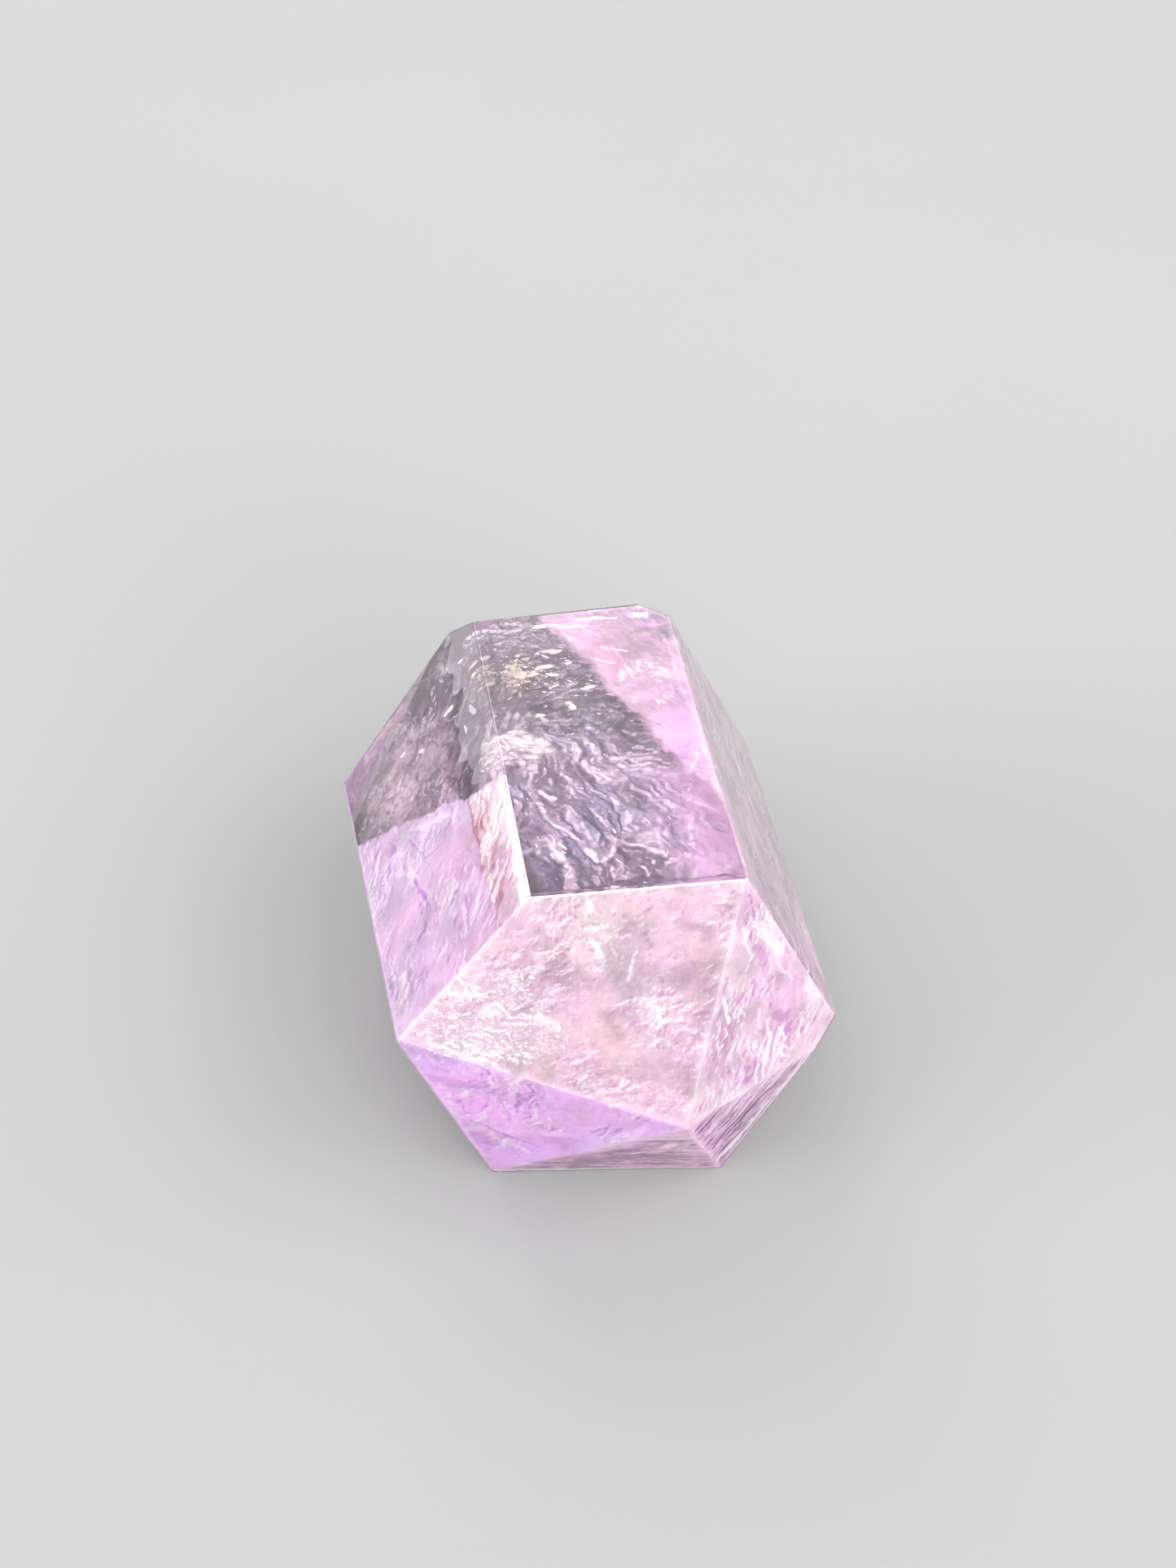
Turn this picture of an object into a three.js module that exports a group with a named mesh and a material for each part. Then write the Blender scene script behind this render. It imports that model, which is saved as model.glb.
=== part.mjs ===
// A polished double-terminated amethyst point, lying on one of its six long faces.
// Millimetres, +Z up. The long axis of the stone runs along Y: the blunt, broadly cut end looks
// toward -Y and the pyramid end toward +Y. The origin is under the middle of the stone, on the
// surface that it lies on.
import * as THREE from "three";
import { ConvexGeometry } from "three/addons/geometries/ConvexGeometry.js";

// Corners of neighbouring faces that come this close are one corner on the real stone (mm).
const CORNER_MERGE = 0.35;

// How far outside a face a corner may lie and still be on the stone (mm).
const ON_FACE = 0.001;

// Every polished face is a plane.
//   around: the way it faces, in degrees clockwise from straight up, seen from the blunt end
//   lean:   how far it turns toward the +Y end, in degrees (negative toward the blunt end)
//   out:    its distance from the middle of the stone, in mm
const LONG_FACES = {
  top: { around: 1.5, lean: 0.5, out: 15.45 },
  right: { around: 67.0, lean: -1.5, out: 14.15 },
  lowerRight: { around: 124.5, lean: -1.0, out: 15.2 },
  rest: { around: 180.0, lean: 0.0, out: 15.55 },
  lowerLeft: { around: 252.0, lean: -3.0, out: 14.7 },
  upperLeft: { around: 312.0, lean: 1.0, out: 14.85 },
};

const BLUNT_END = {
  broadFace: { around: 342.0, lean: -85.5, out: 25.7 },
  leftFacet: { around: 214.5, lean: -61.0, out: 23.95 },
  lowFacet: { around: 194.5, lean: -56.5, out: 24.05 },
  lowRightFacet: { around: 121.5, lean: -55.0, out: 24.75 },
  rightFacet: { around: 95.5, lean: -59.0, out: 24.6 },
};

const PYRAMID_END = {
  topFacet: { around: 359.5, lean: 44.5, out: 18.2 },
  upperLeftFacet: { around: 295.5, lean: 46.5, out: 17.45 },
  rightFacet: { around: 50.5, lean: 36.0, out: 18.55 },
  lowerRightFacet: { around: 143.5, lean: 43.5, out: 19.3 },
  lowFacet: { around: 180.0, lean: 43.5, out: 18.55 },
  lowerLeftFacet: { around: 258.5, lean: 44.5, out: 17.2 },
};

// The face as a three.js plane whose normal points out of the stone.
function planeOf({ around, lean, out }) {
  const a = THREE.MathUtils.degToRad(around);
  const e = THREE.MathUtils.degToRad(lean);
  const normal = new THREE.Vector3(
    Math.sin(a) * Math.cos(e),
    Math.sin(e),
    Math.cos(a) * Math.cos(e),
  );
  return new THREE.Plane(normal, -out);
}

// The point where three planes meet, or null where two of them are parallel.
function meetingPoint(p, q, r) {
  const across = new THREE.Vector3().crossVectors(q.normal, r.normal);
  const spread = p.normal.dot(across);
  if (Math.abs(spread) < 1e-6) return null;
  const point = across.multiplyScalar(-p.constant);
  point.addScaledVector(new THREE.Vector3().crossVectors(r.normal, p.normal), -q.constant);
  point.addScaledVector(new THREE.Vector3().crossVectors(p.normal, q.normal), -r.constant);
  return point.divideScalar(spread);
}

// Every corner of the stone: the meeting points of three faces that no other face cuts off.
function cornersOf(planes) {
  const corners = [];
  for (let i = 0; i < planes.length; i++)
    for (let j = i + 1; j < planes.length; j++)
      for (let k = j + 1; k < planes.length; k++) {
        const point = meetingPoint(planes[i], planes[j], planes[k]);
        if (!point) continue;
        if (planes.every((plane) => plane.distanceToPoint(point) < ON_FACE)) corners.push(point);
      }
  return corners;
}

// Corners closer together than CORNER_MERGE become one, the lowest of them, so that the rest
// face stays flat.
function mergedCorners(corners) {
  const kept = [];
  const fromTheBottom = [...corners].sort((a, b) => a.z - b.z || a.y - b.y || a.x - b.x);
  for (const corner of fromTheBottom)
    if (kept.every((other) => other.distanceTo(corner) > CORNER_MERGE)) kept.push(corner);
  return kept;
}

const planes = [LONG_FACES, BLUNT_END, PYRAMID_END]
  .flatMap((faces) => Object.values(faces))
  .map(planeOf);
const geometry = new ConvexGeometry(mergedCorners(cornersOf(planes)));

// Stand the stone on z = 0, centred over its own bounding box.
geometry.computeBoundingBox();
const box = geometry.boundingBox;
geometry.translate(-(box.min.x + box.max.x) / 2, -(box.min.y + box.max.y) / 2, -box.min.z);

const amethyst = new THREE.Mesh(
  geometry,
  new THREE.MeshStandardMaterial({ color: 0xd7b0e6, roughness: 0.08, metalness: 0 }),
);
amethyst.name = "amethyst_crystal";

const group = new THREE.Group();
group.add(amethyst);

export default group;
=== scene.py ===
"""A polished double-terminated amethyst, lying on a pale floor under soft studio light."""

import itertools
import logging
import math
from dataclasses import dataclass, field
from enum import Enum

import bmesh
import bpy
import numpy as np
from mathutils import Matrix, Vector

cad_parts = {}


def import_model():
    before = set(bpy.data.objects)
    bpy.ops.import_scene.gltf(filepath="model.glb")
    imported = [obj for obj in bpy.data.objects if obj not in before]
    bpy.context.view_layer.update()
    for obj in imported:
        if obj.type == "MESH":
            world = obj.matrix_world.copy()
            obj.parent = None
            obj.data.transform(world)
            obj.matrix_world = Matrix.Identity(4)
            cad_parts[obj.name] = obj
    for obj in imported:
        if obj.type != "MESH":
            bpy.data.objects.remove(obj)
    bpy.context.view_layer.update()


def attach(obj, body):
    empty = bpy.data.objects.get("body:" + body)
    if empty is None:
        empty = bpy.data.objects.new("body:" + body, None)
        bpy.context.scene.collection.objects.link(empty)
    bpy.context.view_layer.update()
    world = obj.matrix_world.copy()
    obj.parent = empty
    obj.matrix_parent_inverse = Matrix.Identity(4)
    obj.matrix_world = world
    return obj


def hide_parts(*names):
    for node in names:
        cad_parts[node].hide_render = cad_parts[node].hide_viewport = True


MM = 0.001
STONE_NODE = "amethyst_crystal"
BODY = "root"
NEXT_TO_NOTHING = 1e-6
log = logging.getLogger("amethyst")

Colour = tuple[float, float, float]
Place = tuple[float, float, float]


def unit(way: np.ndarray) -> np.ndarray:
    """Scales vectors to length one.

    Args:
        way: one vector, or rows of vectors.

    Returns:
        The same directions with length one.
    """
    return way / np.linalg.norm(way, axis=-1, keepdims=True)


def facing(around_deg: float, lean_deg: float) -> np.ndarray:
    """Turns two angles into a direction.

    Args:
        around_deg: degrees clockwise from straight up, seen from the blunt end.
        lean_deg: degrees toward the pyramid end.

    Returns:
        The unit direction.
    """
    around, lean = math.radians(around_deg), math.radians(lean_deg)
    return np.array([math.sin(around) * math.cos(lean), math.sin(lean), math.cos(around) * math.cos(lean)])


class Face(Enum):
    """The stone's polished faces: degrees around from straight up, and degrees toward the pyramid end."""

    TOP = (1.5, 0.5)
    RIGHT = (67.0, -1.5)
    LOWER_RIGHT = (124.5, -1.0)
    REST = (180.0, 0.0)
    LOWER_LEFT = (252.0, -3.0)
    UPPER_LEFT = (312.0, 1.0)
    BLUNT_BROAD = (342.0, -85.5)
    BLUNT_LEFT = (214.5, -61.0)
    BLUNT_LOW = (194.5, -56.5)
    BLUNT_LOW_RIGHT = (121.5, -55.0)
    BLUNT_RIGHT = (95.5, -59.0)
    POINT_TOP = (359.5, 44.5)
    POINT_UPPER_LEFT = (295.5, 46.5)
    POINT_RIGHT = (50.5, 36.0)
    POINT_LOWER_RIGHT = (143.5, 43.5)
    POINT_LOW = (180.0, 43.5)
    POINT_LOWER_LEFT = (258.5, 44.5)


class Grain:
    """Smooth repeatable noise, worked out for whole arrays of places at once."""

    CELLS = 256
    SMOOTH_GAIN = 1.5
    FRACTAL_GAIN = 1.4
    NEXT_LAYER = (17.1, -9.7)
    MIDDLE = 0.5
    OFF_MIDDLE = 0.45
    MIDDLE_TURNS = (7, 13)
    TONE_TURN = 29

    def __init__(self, seed: int) -> None:
        """Shuffles the lattice that the noise is made from.

        Args:
            seed: which noise it is.
        """
        rng = np.random.default_rng(seed)
        self.order = rng.permutation(self.CELLS)
        self.angles = rng.uniform(0.0, 2 * math.pi, self.CELLS)

    def corner(self, column: np.ndarray, row: np.ndarray, x: np.ndarray, y: np.ndarray) -> np.ndarray:
        """Gives one lattice corner's slope at places measured from that corner.

        Args:
            column: the corner's column.
            row: the corner's row.
            x: how far each place lies beyond the corner along the columns.
            y: how far each place lies beyond the corner along the rows.

        Returns:
            The corner's share of the noise at each place.
        """
        angle = self.angles[(self.order[column % self.CELLS] + row) % self.CELLS]
        return np.cos(angle) * x + np.sin(angle) * y

    def smooth(self, x: np.ndarray, y: np.ndarray) -> np.ndarray:
        """Gives noise between about -1 and 1 with bumps one unit apart.

        Args:
            x: first coordinates.
            y: second coordinates.

        Returns:
            The noise at each place.
        """
        column, row = np.floor(x).astype(int), np.floor(y).astype(int)
        dx, dy = x - column, y - row
        near = self.corner(column, row, dx, dy)
        right = self.corner(column + 1, row, dx - 1, dy)
        above = self.corner(column, row + 1, dx, dy - 1)
        far = self.corner(column + 1, row + 1, dx - 1, dy - 1)
        easing_x, easing_y = (w * w * w * (w * (w * 6 - 15) + 10) for w in (dx, dy))
        low = near + easing_x * (right - near)
        high = above + easing_x * (far - above)
        return self.SMOOTH_GAIN * (low + easing_y * (high - low))

    def fractal(self, x: np.ndarray, y: np.ndarray, octaves: int = 4, keep: float = 0.5) -> np.ndarray:
        """Adds finer and finer noise together.

        Args:
            x: first coordinates.
            y: second coordinates.
            octaves: how many layers, each twice as fine as the last.
            keep: each layer's height over the last one's.

        Returns:
            The noise at each place, between about -1 and 1.
        """
        total, height, weight = np.zeros_like(x), 1.0, 0.0
        right, up = self.NEXT_LAYER
        for layer in range(octaves):
            total += height * self.smooth(x * 2**layer + right * layer, y * 2**layer + up * layer)
            weight += height
            height *= keep
        return total / weight * self.FRACTAL_GAIN

    def shards(self, x: np.ndarray, y: np.ndarray) -> np.ndarray:
        """Breaks the plane into angular shards about one unit wide.

        Args:
            x: first coordinates.
            y: second coordinates.

        Returns:
            Each place's shard tone, between -1 and 1.
        """
        column, row = np.floor(x).astype(int), np.floor(y).astype(int)
        nearest, tone = np.full_like(x, np.inf), np.zeros_like(x)
        turn_x, turn_y = self.MIDDLE_TURNS
        for right, up in itertools.product((-1, 0, 1), repeat=2):
            angle = self.angles[(self.order[(column + right) % self.CELLS] + row + up) % self.CELLS]
            middle_x = column + right + self.MIDDLE + self.OFF_MIDDLE * np.cos(angle * turn_x)
            middle_y = row + up + self.MIDDLE + self.OFF_MIDDLE * np.sin(angle * turn_y)
            apart = np.hypot(x - middle_x, y - middle_y)
            tone = np.where(apart < nearest, np.cos(angle * self.TONE_TURN), tone)
            nearest = np.minimum(nearest, apart)
        return tone


def shoulder(value: np.ndarray, low: float, high: float) -> np.ndarray:
    """Stretches values so that low gives 0 and high gives 1, with smooth ends.

    Args:
        value: the values.
        low: what becomes 0.
        high: what becomes 1.

    Returns:
        The stretched values.
    """
    share = np.clip((value - low) / (high - low), 0.0, 1.0)
    return share * share * (3 - 2 * share)


def partly(least: float, share: np.ndarray) -> np.ndarray:
    """Gives the least where the share is 0, and 1 where it is 1."""
    return least + (1 - least) * share


class NodeTree:
    """A short way to write a material's nodes."""

    def __init__(self, name: str) -> None:
        """Starts an empty material.

        Args:
            name: the material's name.
        """
        self.material = bpy.data.materials.new(name)
        self.material.use_nodes = True
        self.nodes = self.material.node_tree.nodes
        self.nodes.clear()
        self.output = self.nodes.new("ShaderNodeOutputMaterial")

    def fill(self, socket: bpy.types.NodeSocket, value: object) -> None:
        """Sets an input's value, or links an output to it.

        Args:
            socket: the input.
            value: the value or the output.
        """
        if isinstance(value, bpy.types.NodeSocket):
            self.material.node_tree.links.new(value, socket)
        else:
            socket.default_value = value

    def add(self, kind: str, settings: dict | None = None, **sockets: object) -> bpy.types.Node:
        """Adds a node.

        Args:
            kind: the node's type, without the word ShaderNode.
            settings: the node's own properties.
            sockets: values, or outputs to link, by input name with _ for spaces, or by i and its number.

        Returns:
            The node.
        """
        node = self.nodes.new("ShaderNode" + kind)
        for key, value in (settings or {}).items():
            setattr(node, key, value)
        for key, value in sockets.items():
            numbered = key[0] == "i" and key[1:].isdigit()
            self.fill(node.inputs[int(key[1:]) if numbered else key.replace("_", " ")], value)
        return node

    def mixed(self, share: object, first: object, second: object) -> bpy.types.NodeSocket:
        """Mixes two colours.

        Args:
            share: how much of the second colour shows.
            first: a colour or an output.
            second: a colour or an output.

        Returns:
            The mixed colour's output.
        """
        node = self.add("Mix", {"data_type": "RGBA"}, Factor=share)
        for name, value in (("A", first), ("B", second)):
            socket = next(i for i in node.inputs if i.name == name and i.type == "RGBA")
            self.fill(socket, value if isinstance(value, bpy.types.NodeSocket) else (*value, 1))
        return next(o for o in node.outputs if o.type == "RGBA")

    def shaded(self, share: object, first: bpy.types.Node, second: bpy.types.Node) -> bpy.types.Node:
        """Mixes two shaders.

        Args:
            share: how much of the second shader shows.
            first: a shader.
            second: a shader.

        Returns:
            The node that mixes them.
        """
        return self.add("MixShader", Fac=share, i1=first.outputs[0], i2=second.outputs[0])

    def ramp(self, value: bpy.types.NodeSocket, low: float, high: float) -> bpy.types.NodeSocket:
        """Stretches a value so that low gives 0 and high gives 1, with a smooth shoulder.

        Args:
            value: the value's output.
            low: what becomes 0.
            high: what becomes 1.

        Returns:
            The stretched value's output.
        """
        smooth = {"interpolation_type": "SMOOTHSTEP"}
        return self.add("MapRange", smooth, Value=value, From_Min=low, From_Max=high).outputs[0]

    def noise(self, vector: bpy.types.NodeSocket, scale: float, detail: float) -> bpy.types.NodeSocket:
        """Adds a noise texture.

        Args:
            vector: the output that gives the place.
            scale: how many bumps there are in one unit.
            detail: how many finer layers there are.

        Returns:
            The noise's value output.
        """
        return self.add("TexNoise", Vector=vector, Scale=scale, Detail=detail).outputs["Fac"]

    def finish(self, surface: bpy.types.Node, volume: bpy.types.Node | None = None) -> bpy.types.Material:
        """Links the shaders to the output.

        Args:
            surface: the surface's shader.
            volume: the shader of what is inside, if any.

        Returns:
            The material.
        """
        self.fill(self.output.inputs["Surface"], surface.outputs[0])
        if volume is not None:
            self.fill(self.output.inputs["Volume"], volume.outputs[0])
        return self.material


@dataclass(frozen=True)
class QuartzFinish:
    """Clear polished quartz with the pale violet of amethyst all through it."""

    name: str = "amethyst_quartz"
    tint: Colour = (0.985, 0.96, 0.99)
    ior: float = 1.549
    absorbed_colour: Colour = (0.86, 0.63, 0.80)
    absorbed_density: float = 30.0
    roughness: float = 0.01
    wave_scale: float = 160.0
    wave_detail: float = 2.0
    wave_height: float = 0.02 * MM

    def material(self) -> bpy.types.Material:
        """Makes the see-through material, with a plain volume absorption.

        Returns:
            The material.
        """
        tree = NodeTree(self.name)
        place = tree.add("TexCoord").outputs["Object"]
        wave = tree.noise(place, self.wave_scale, self.wave_detail)
        bump = tree.add("Bump", Height=wave, Distance=self.wave_height, Strength=1.0)
        shader = tree.add(
            "BsdfPrincipled",
            Base_Color=(*self.tint, 1),
            Transmission_Weight=1.0,
            IOR=self.ior,
            Roughness=self.roughness,
            Normal=bump.outputs[0],
        )
        volume = tree.add("VolumeAbsorption", Color=(*self.absorbed_colour, 1), Density=self.absorbed_density)
        return tree.finish(shader, volume)


@dataclass(frozen=True)
class VeilFinish:
    """A partly healed crack: cloudy skin in two tints, with pale crests and darker folds that are partly a
    painted highlight and painted shade on its ridges.

    The glass colour is what clear places let through, through is how much of the light that the skin spreads
    comes out at its other side, and gloss is the share of shine.
    """

    name: str
    milk: Colour = (0.90, 0.72, 0.84)
    other_milk: Colour = (0.84, 0.72, 0.88)
    pale_and_highlight: Colour = (1.0, 0.95, 0.97)
    dark_and_shade: Colour = (0.30, 0.18, 0.32)
    gloss: float = 0.2
    roughness: float = 0.22
    through: float = 0.5
    tint_scale: float = 0.13
    tint_detail: float = 3.0
    tint_range: tuple[float, float] = (0.36, 0.64)
    glass: Colour = (1.0, 1.0, 1.0)

    def material(self) -> bpy.types.Material:
        """Makes the material, which reads the veil's own marks and stains.

        Returns:
            The material.
        """
        tree = NodeTree(self.name)
        marks = tree.add("Attribute", {"attribute_name": Veil.MARKS})
        cover, pale_and_highlight, dark_and_shade = tree.add("SeparateColor", Color=marks.outputs["Color"]).outputs[:3]
        flow = tree.add("UVMap", {"uv_map": Veil.FLOW_MAP}).outputs[0]
        tint = tree.ramp(tree.noise(flow, self.tint_scale, self.tint_detail), *self.tint_range)
        stain = tree.add("Attribute", {"attribute_name": Veil.STAINS}).outputs
        milk = tree.mixed(stain["Alpha"], tree.mixed(tint, self.milk, self.other_milk), stain["Color"])
        # Painted highlight and painted shade: the pale and dark channels mix lighter and darker copies of the
        # colour into the skin.
        colour = tree.mixed(dark_and_shade, tree.mixed(pale_and_highlight, milk, self.pale_and_highlight), self.dark_and_shade)
        dust = tree.add("BsdfDiffuse", Color=colour)
        glow = tree.add("BsdfTranslucent", Color=colour)
        shine = tree.add("BsdfAnisotropic", Color=colour, Roughness=self.roughness)
        body = tree.shaded(self.gloss, tree.shaded(self.through, dust, glow), shine)
        clear = tree.add("BsdfTransparent", Color=(*self.glass, 1))
        return tree.finish(tree.shaded(cover, clear, body))


@dataclass(frozen=True)
class FlakeFinish:
    """Thin bright flakes, a little uneven in colour from one to the next."""

    name: str
    pale: Colour = (0.93, 0.87, 0.92)
    deep: Colour = (0.75, 0.62, 0.74)
    roughness: float = 0.3
    tone_scale: float = 700.0
    tone_detail: float = 2.0
    tone_range: tuple[float, float] = (0.35, 0.65)

    def material(self) -> bpy.types.Material:
        """Makes the material: two tones by a noise much wider than a flake.

        Returns:
            The material.
        """
        tree = NodeTree(self.name)
        place = tree.add("TexCoord").outputs["Object"]
        tone = tree.ramp(tree.noise(place, self.tone_scale, self.tone_detail), *self.tone_range)
        colour = tree.mixed(tone, self.deep, self.pale)
        return tree.finish(tree.add("BsdfPrincipled", Base_Color=colour, Roughness=self.roughness))


@dataclass(frozen=True)
class FloorFinish:
    """Plain pale matt board."""

    name: str = "pale_board"
    light: Colour = (0.222, 0.222, 0.218)
    dark: Colour = (0.209, 0.209, 0.205)
    roughness: float = 0.6
    tone_scale: float = 9.0
    tone_detail: float = 4.0

    def material(self) -> bpy.types.Material:
        """Makes the material: a very faint unevenness in one pale tone.

        Returns:
            The material.
        """
        tree = NodeTree(self.name)
        place = tree.add("TexCoord").outputs["Object"]
        tone = tree.noise(place, self.tone_scale, self.tone_detail)
        colour = tree.mixed(tone, self.dark, self.light)
        return tree.finish(tree.add("BsdfDiffuse", Color=colour, Roughness=self.roughness))


@dataclass
class Stone:
    """The stone itself: the flat faces of the frame's solid, with its edges polished round."""

    NAME = "amethyst_stone"
    NEARLY_PARALLEL = 1e-5
    ON_FACE = 1e-8
    SAME_CORNER = 1e-7
    DIRECTION_DIGITS = 6

    edge_radius: float = 0.3 * MM
    arc_steps: int = 4
    same_face_deg: float = 3.0
    finish: QuartzFinish = QuartzFinish()
    normals: np.ndarray = field(init=False, repr=False)
    depths: np.ndarray = field(init=False, repr=False)

    def __post_init__(self) -> None:
        """Reads the flat faces from the solid."""
        self.normals, self.depths = self.read_faces()

    def read_faces(self) -> tuple[np.ndarray, np.ndarray]:
        """Groups the solid's triangles into flat faces.

        Returns:
            The outward normals, and the distance of each face from the origin in metres.
        """
        groups: list[list[bpy.types.MeshPolygon]] = []
        limit = math.cos(math.radians(self.same_face_deg))
        for polygon in sorted(bpy.data.objects[STONE_NODE].data.polygons, key=lambda p: -p.area):
            mates = next((g for g in groups if g[0].normal.dot(polygon.normal) > limit), None)
            if mates is None:
                groups.append([polygon])
            else:
                mates.append(polygon)
        normals, depths = [], []
        for group in groups:
            area = sum(p.area for p in group)
            normal = sum((p.normal * p.area for p in group), Vector()).normalized()
            normals.append(normal[:])
            depths.append(sum(normal.dot(p.center) * p.area for p in group) / area)
        return np.array(normals), np.array(depths)

    def depth_of(self, points: np.ndarray) -> np.ndarray:
        """Works out how deep points lie in the stone.

        Args:
            points: the points, in metres.

        Returns:
            The depth under the nearest face in metres, negative outside.
        """
        return (self.depths - points @ self.normals.T).min(axis=-1)

    def index_of(self, face: Face) -> int:
        """Finds which of the read faces is the named one."""
        return int(np.argmax(self.normals @ facing(*face.value)))

    def corners(self, inset: float) -> list[tuple[np.ndarray, list[int]]]:
        """Finds the corners of the stone with every face moved inward.

        Args:
            inset: how far the faces are moved, in metres.

        Returns:
            Each corner with the indices of the faces that meet there.
        """
        depths = self.depths - inset
        found: list[tuple[np.ndarray, set[int]]] = []
        for three in itertools.combinations(range(len(depths)), 3):
            rows = self.normals[list(three)]
            if abs(np.linalg.det(rows)) < self.NEARLY_PARALLEL:
                continue
            point = np.linalg.solve(rows, depths[list(three)])
            if (self.normals @ point - depths).max() > self.ON_FACE:
                continue
            near = next((f for other, f in found if np.linalg.norm(other - point) < self.SAME_CORNER), None)
            if near is None:
                found.append((point, set(three)))
            else:
                near.update(three)
        return [(point, sorted(faces)) for point, faces in found]

    def directions(self, faces: list[int]) -> list[np.ndarray]:
        """Spreads directions over the part of a ball that rounds one corner.

        Args:
            faces: the faces that meet at the corner.

        Returns:
            Unit directions, the faces' own normals among them.
        """
        steps, around, spread = self.arc_steps, self.normals[faces], {}
        for a in range(len(faces)):
            for b in range(a + 1, len(faces)):
                for c in range(b, len(faces)):
                    for i in range(steps + 1):
                        for j in range(steps + 1 - i):
                            way = unit(around[a] * i + around[b] * j + around[c] * (steps - i - j))
                            spread[tuple(np.round(way, self.DIRECTION_DIGITS))] = way
        return list(spread.values())

    def build(self) -> bpy.types.Object:
        """Builds the rounded stone.

        Returns:
            The stone, with normals that are exact on its flats and roundings.
        """
        made, ways = bmesh.new(), {}
        for point, faces in self.corners(self.edge_radius):
            for way in self.directions(faces):
                ways[made.verts.new(point + self.edge_radius * way)] = way
        hull = bmesh.ops.convex_hull(made, input=made.verts[:])
        spare = {g for g in hull["geom_interior"] + hull["geom_unused"] if isinstance(g, bmesh.types.BMVert)}
        bmesh.ops.delete(made, geom=list(spare), context="VERTS")
        bmesh.ops.recalc_face_normals(made, faces=made.faces[:])
        made.verts.index_update()
        order = {vertex.index: way for vertex, way in ways.items() if vertex.is_valid}
        mesh = bpy.data.meshes.new(self.NAME)
        made.to_mesh(mesh)
        made.free()
        mesh.shade_smooth()
        mesh.normals_split_custom_set_from_vertices([order[i] for i in range(len(mesh.vertices))])
        mesh.materials.append(self.finish.material())
        stone = bpy.data.objects.new(self.NAME, mesh)
        bpy.context.scene.collection.objects.link(stone)
        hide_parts(STONE_NODE)
        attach(stone, BODY)
        log.info("%s: %d faces", stone.name, len(mesh.polygons))
        return stone


@dataclass(frozen=True)
class Mark:
    """A streak or spot of a sheet that is whiter, darker, cloudier or of another tint, in millimetres.

    It runs from start to end and reaches that far to each side. Frost whitens it, shade darkens it, haze
    makes it cloudier, and dye is how much of the tint it takes. Ragged is how torn its edge is, and soft how
    slowly it fades.
    """

    start: Place
    end: Place
    reach: float
    frost: float = 0.0
    shade: float = 0.0
    haze: float = 0.0
    dye: float = 0.0
    tint: Colour = (0.6, 0.5, 0.55)
    ragged: float = 0.5
    soft: float = 0.5


@dataclass
class Crinkles:
    """What a sheet is like at each place: its lift, how cloudy it is, how pale and dark it is by marks and by
    painted highlight and shade, and its stain.
    """

    lift: np.ndarray
    milk: np.ndarray
    pale_and_highlight: np.ndarray
    dark_and_shade: np.ndarray
    stain: np.ndarray

    def take(self, mark: Mark, share: np.ndarray) -> None:
        """Adds a mark.

        Args:
            mark: the mark.
            share: how much of it each place takes.
        """
        self.pale_and_highlight = self.pale_and_highlight + mark.frost * share * (1 - self.pale_and_highlight)
        self.dark_and_shade = self.dark_and_shade * (1 - mark.frost * share)
        self.dark_and_shade = self.dark_and_shade + mark.shade * share * (1 - self.dark_and_shade)
        self.milk = self.milk + mark.haze * share
        tints, covered = self.stain[..., :3], self.stain[..., 3]
        dye = mark.dye * share
        cover = covered + dye * (1 - covered)
        tints += (dye / np.maximum(cover, NEXT_TO_NOTHING))[..., None] * (np.array(mark.tint) - tints)
        self.stain[..., 3] = cover


@dataclass(frozen=True)
class Pattern:
    """One layer of a sheet's noise: how wide its bumps are, where it is taken and how fine it gets."""

    span: float = 1.0
    shift: tuple[float, float] = (0.0, 0.0)
    octaves: int = 4
    keep: float = 0.6

    def over(self, grain: Grain, x: np.ndarray, y: np.ndarray) -> np.ndarray:
        """Gives the layer at places.

        Args:
            grain: the sheet's noise.
            x: first coordinates.
            y: second coordinates.

        Returns:
            The noise at each place, between about -1 and 1.
        """
        across, up = self.shift
        return grain.fractal(x / self.span + across, y / self.span + up, self.octaves, self.keep)


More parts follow.
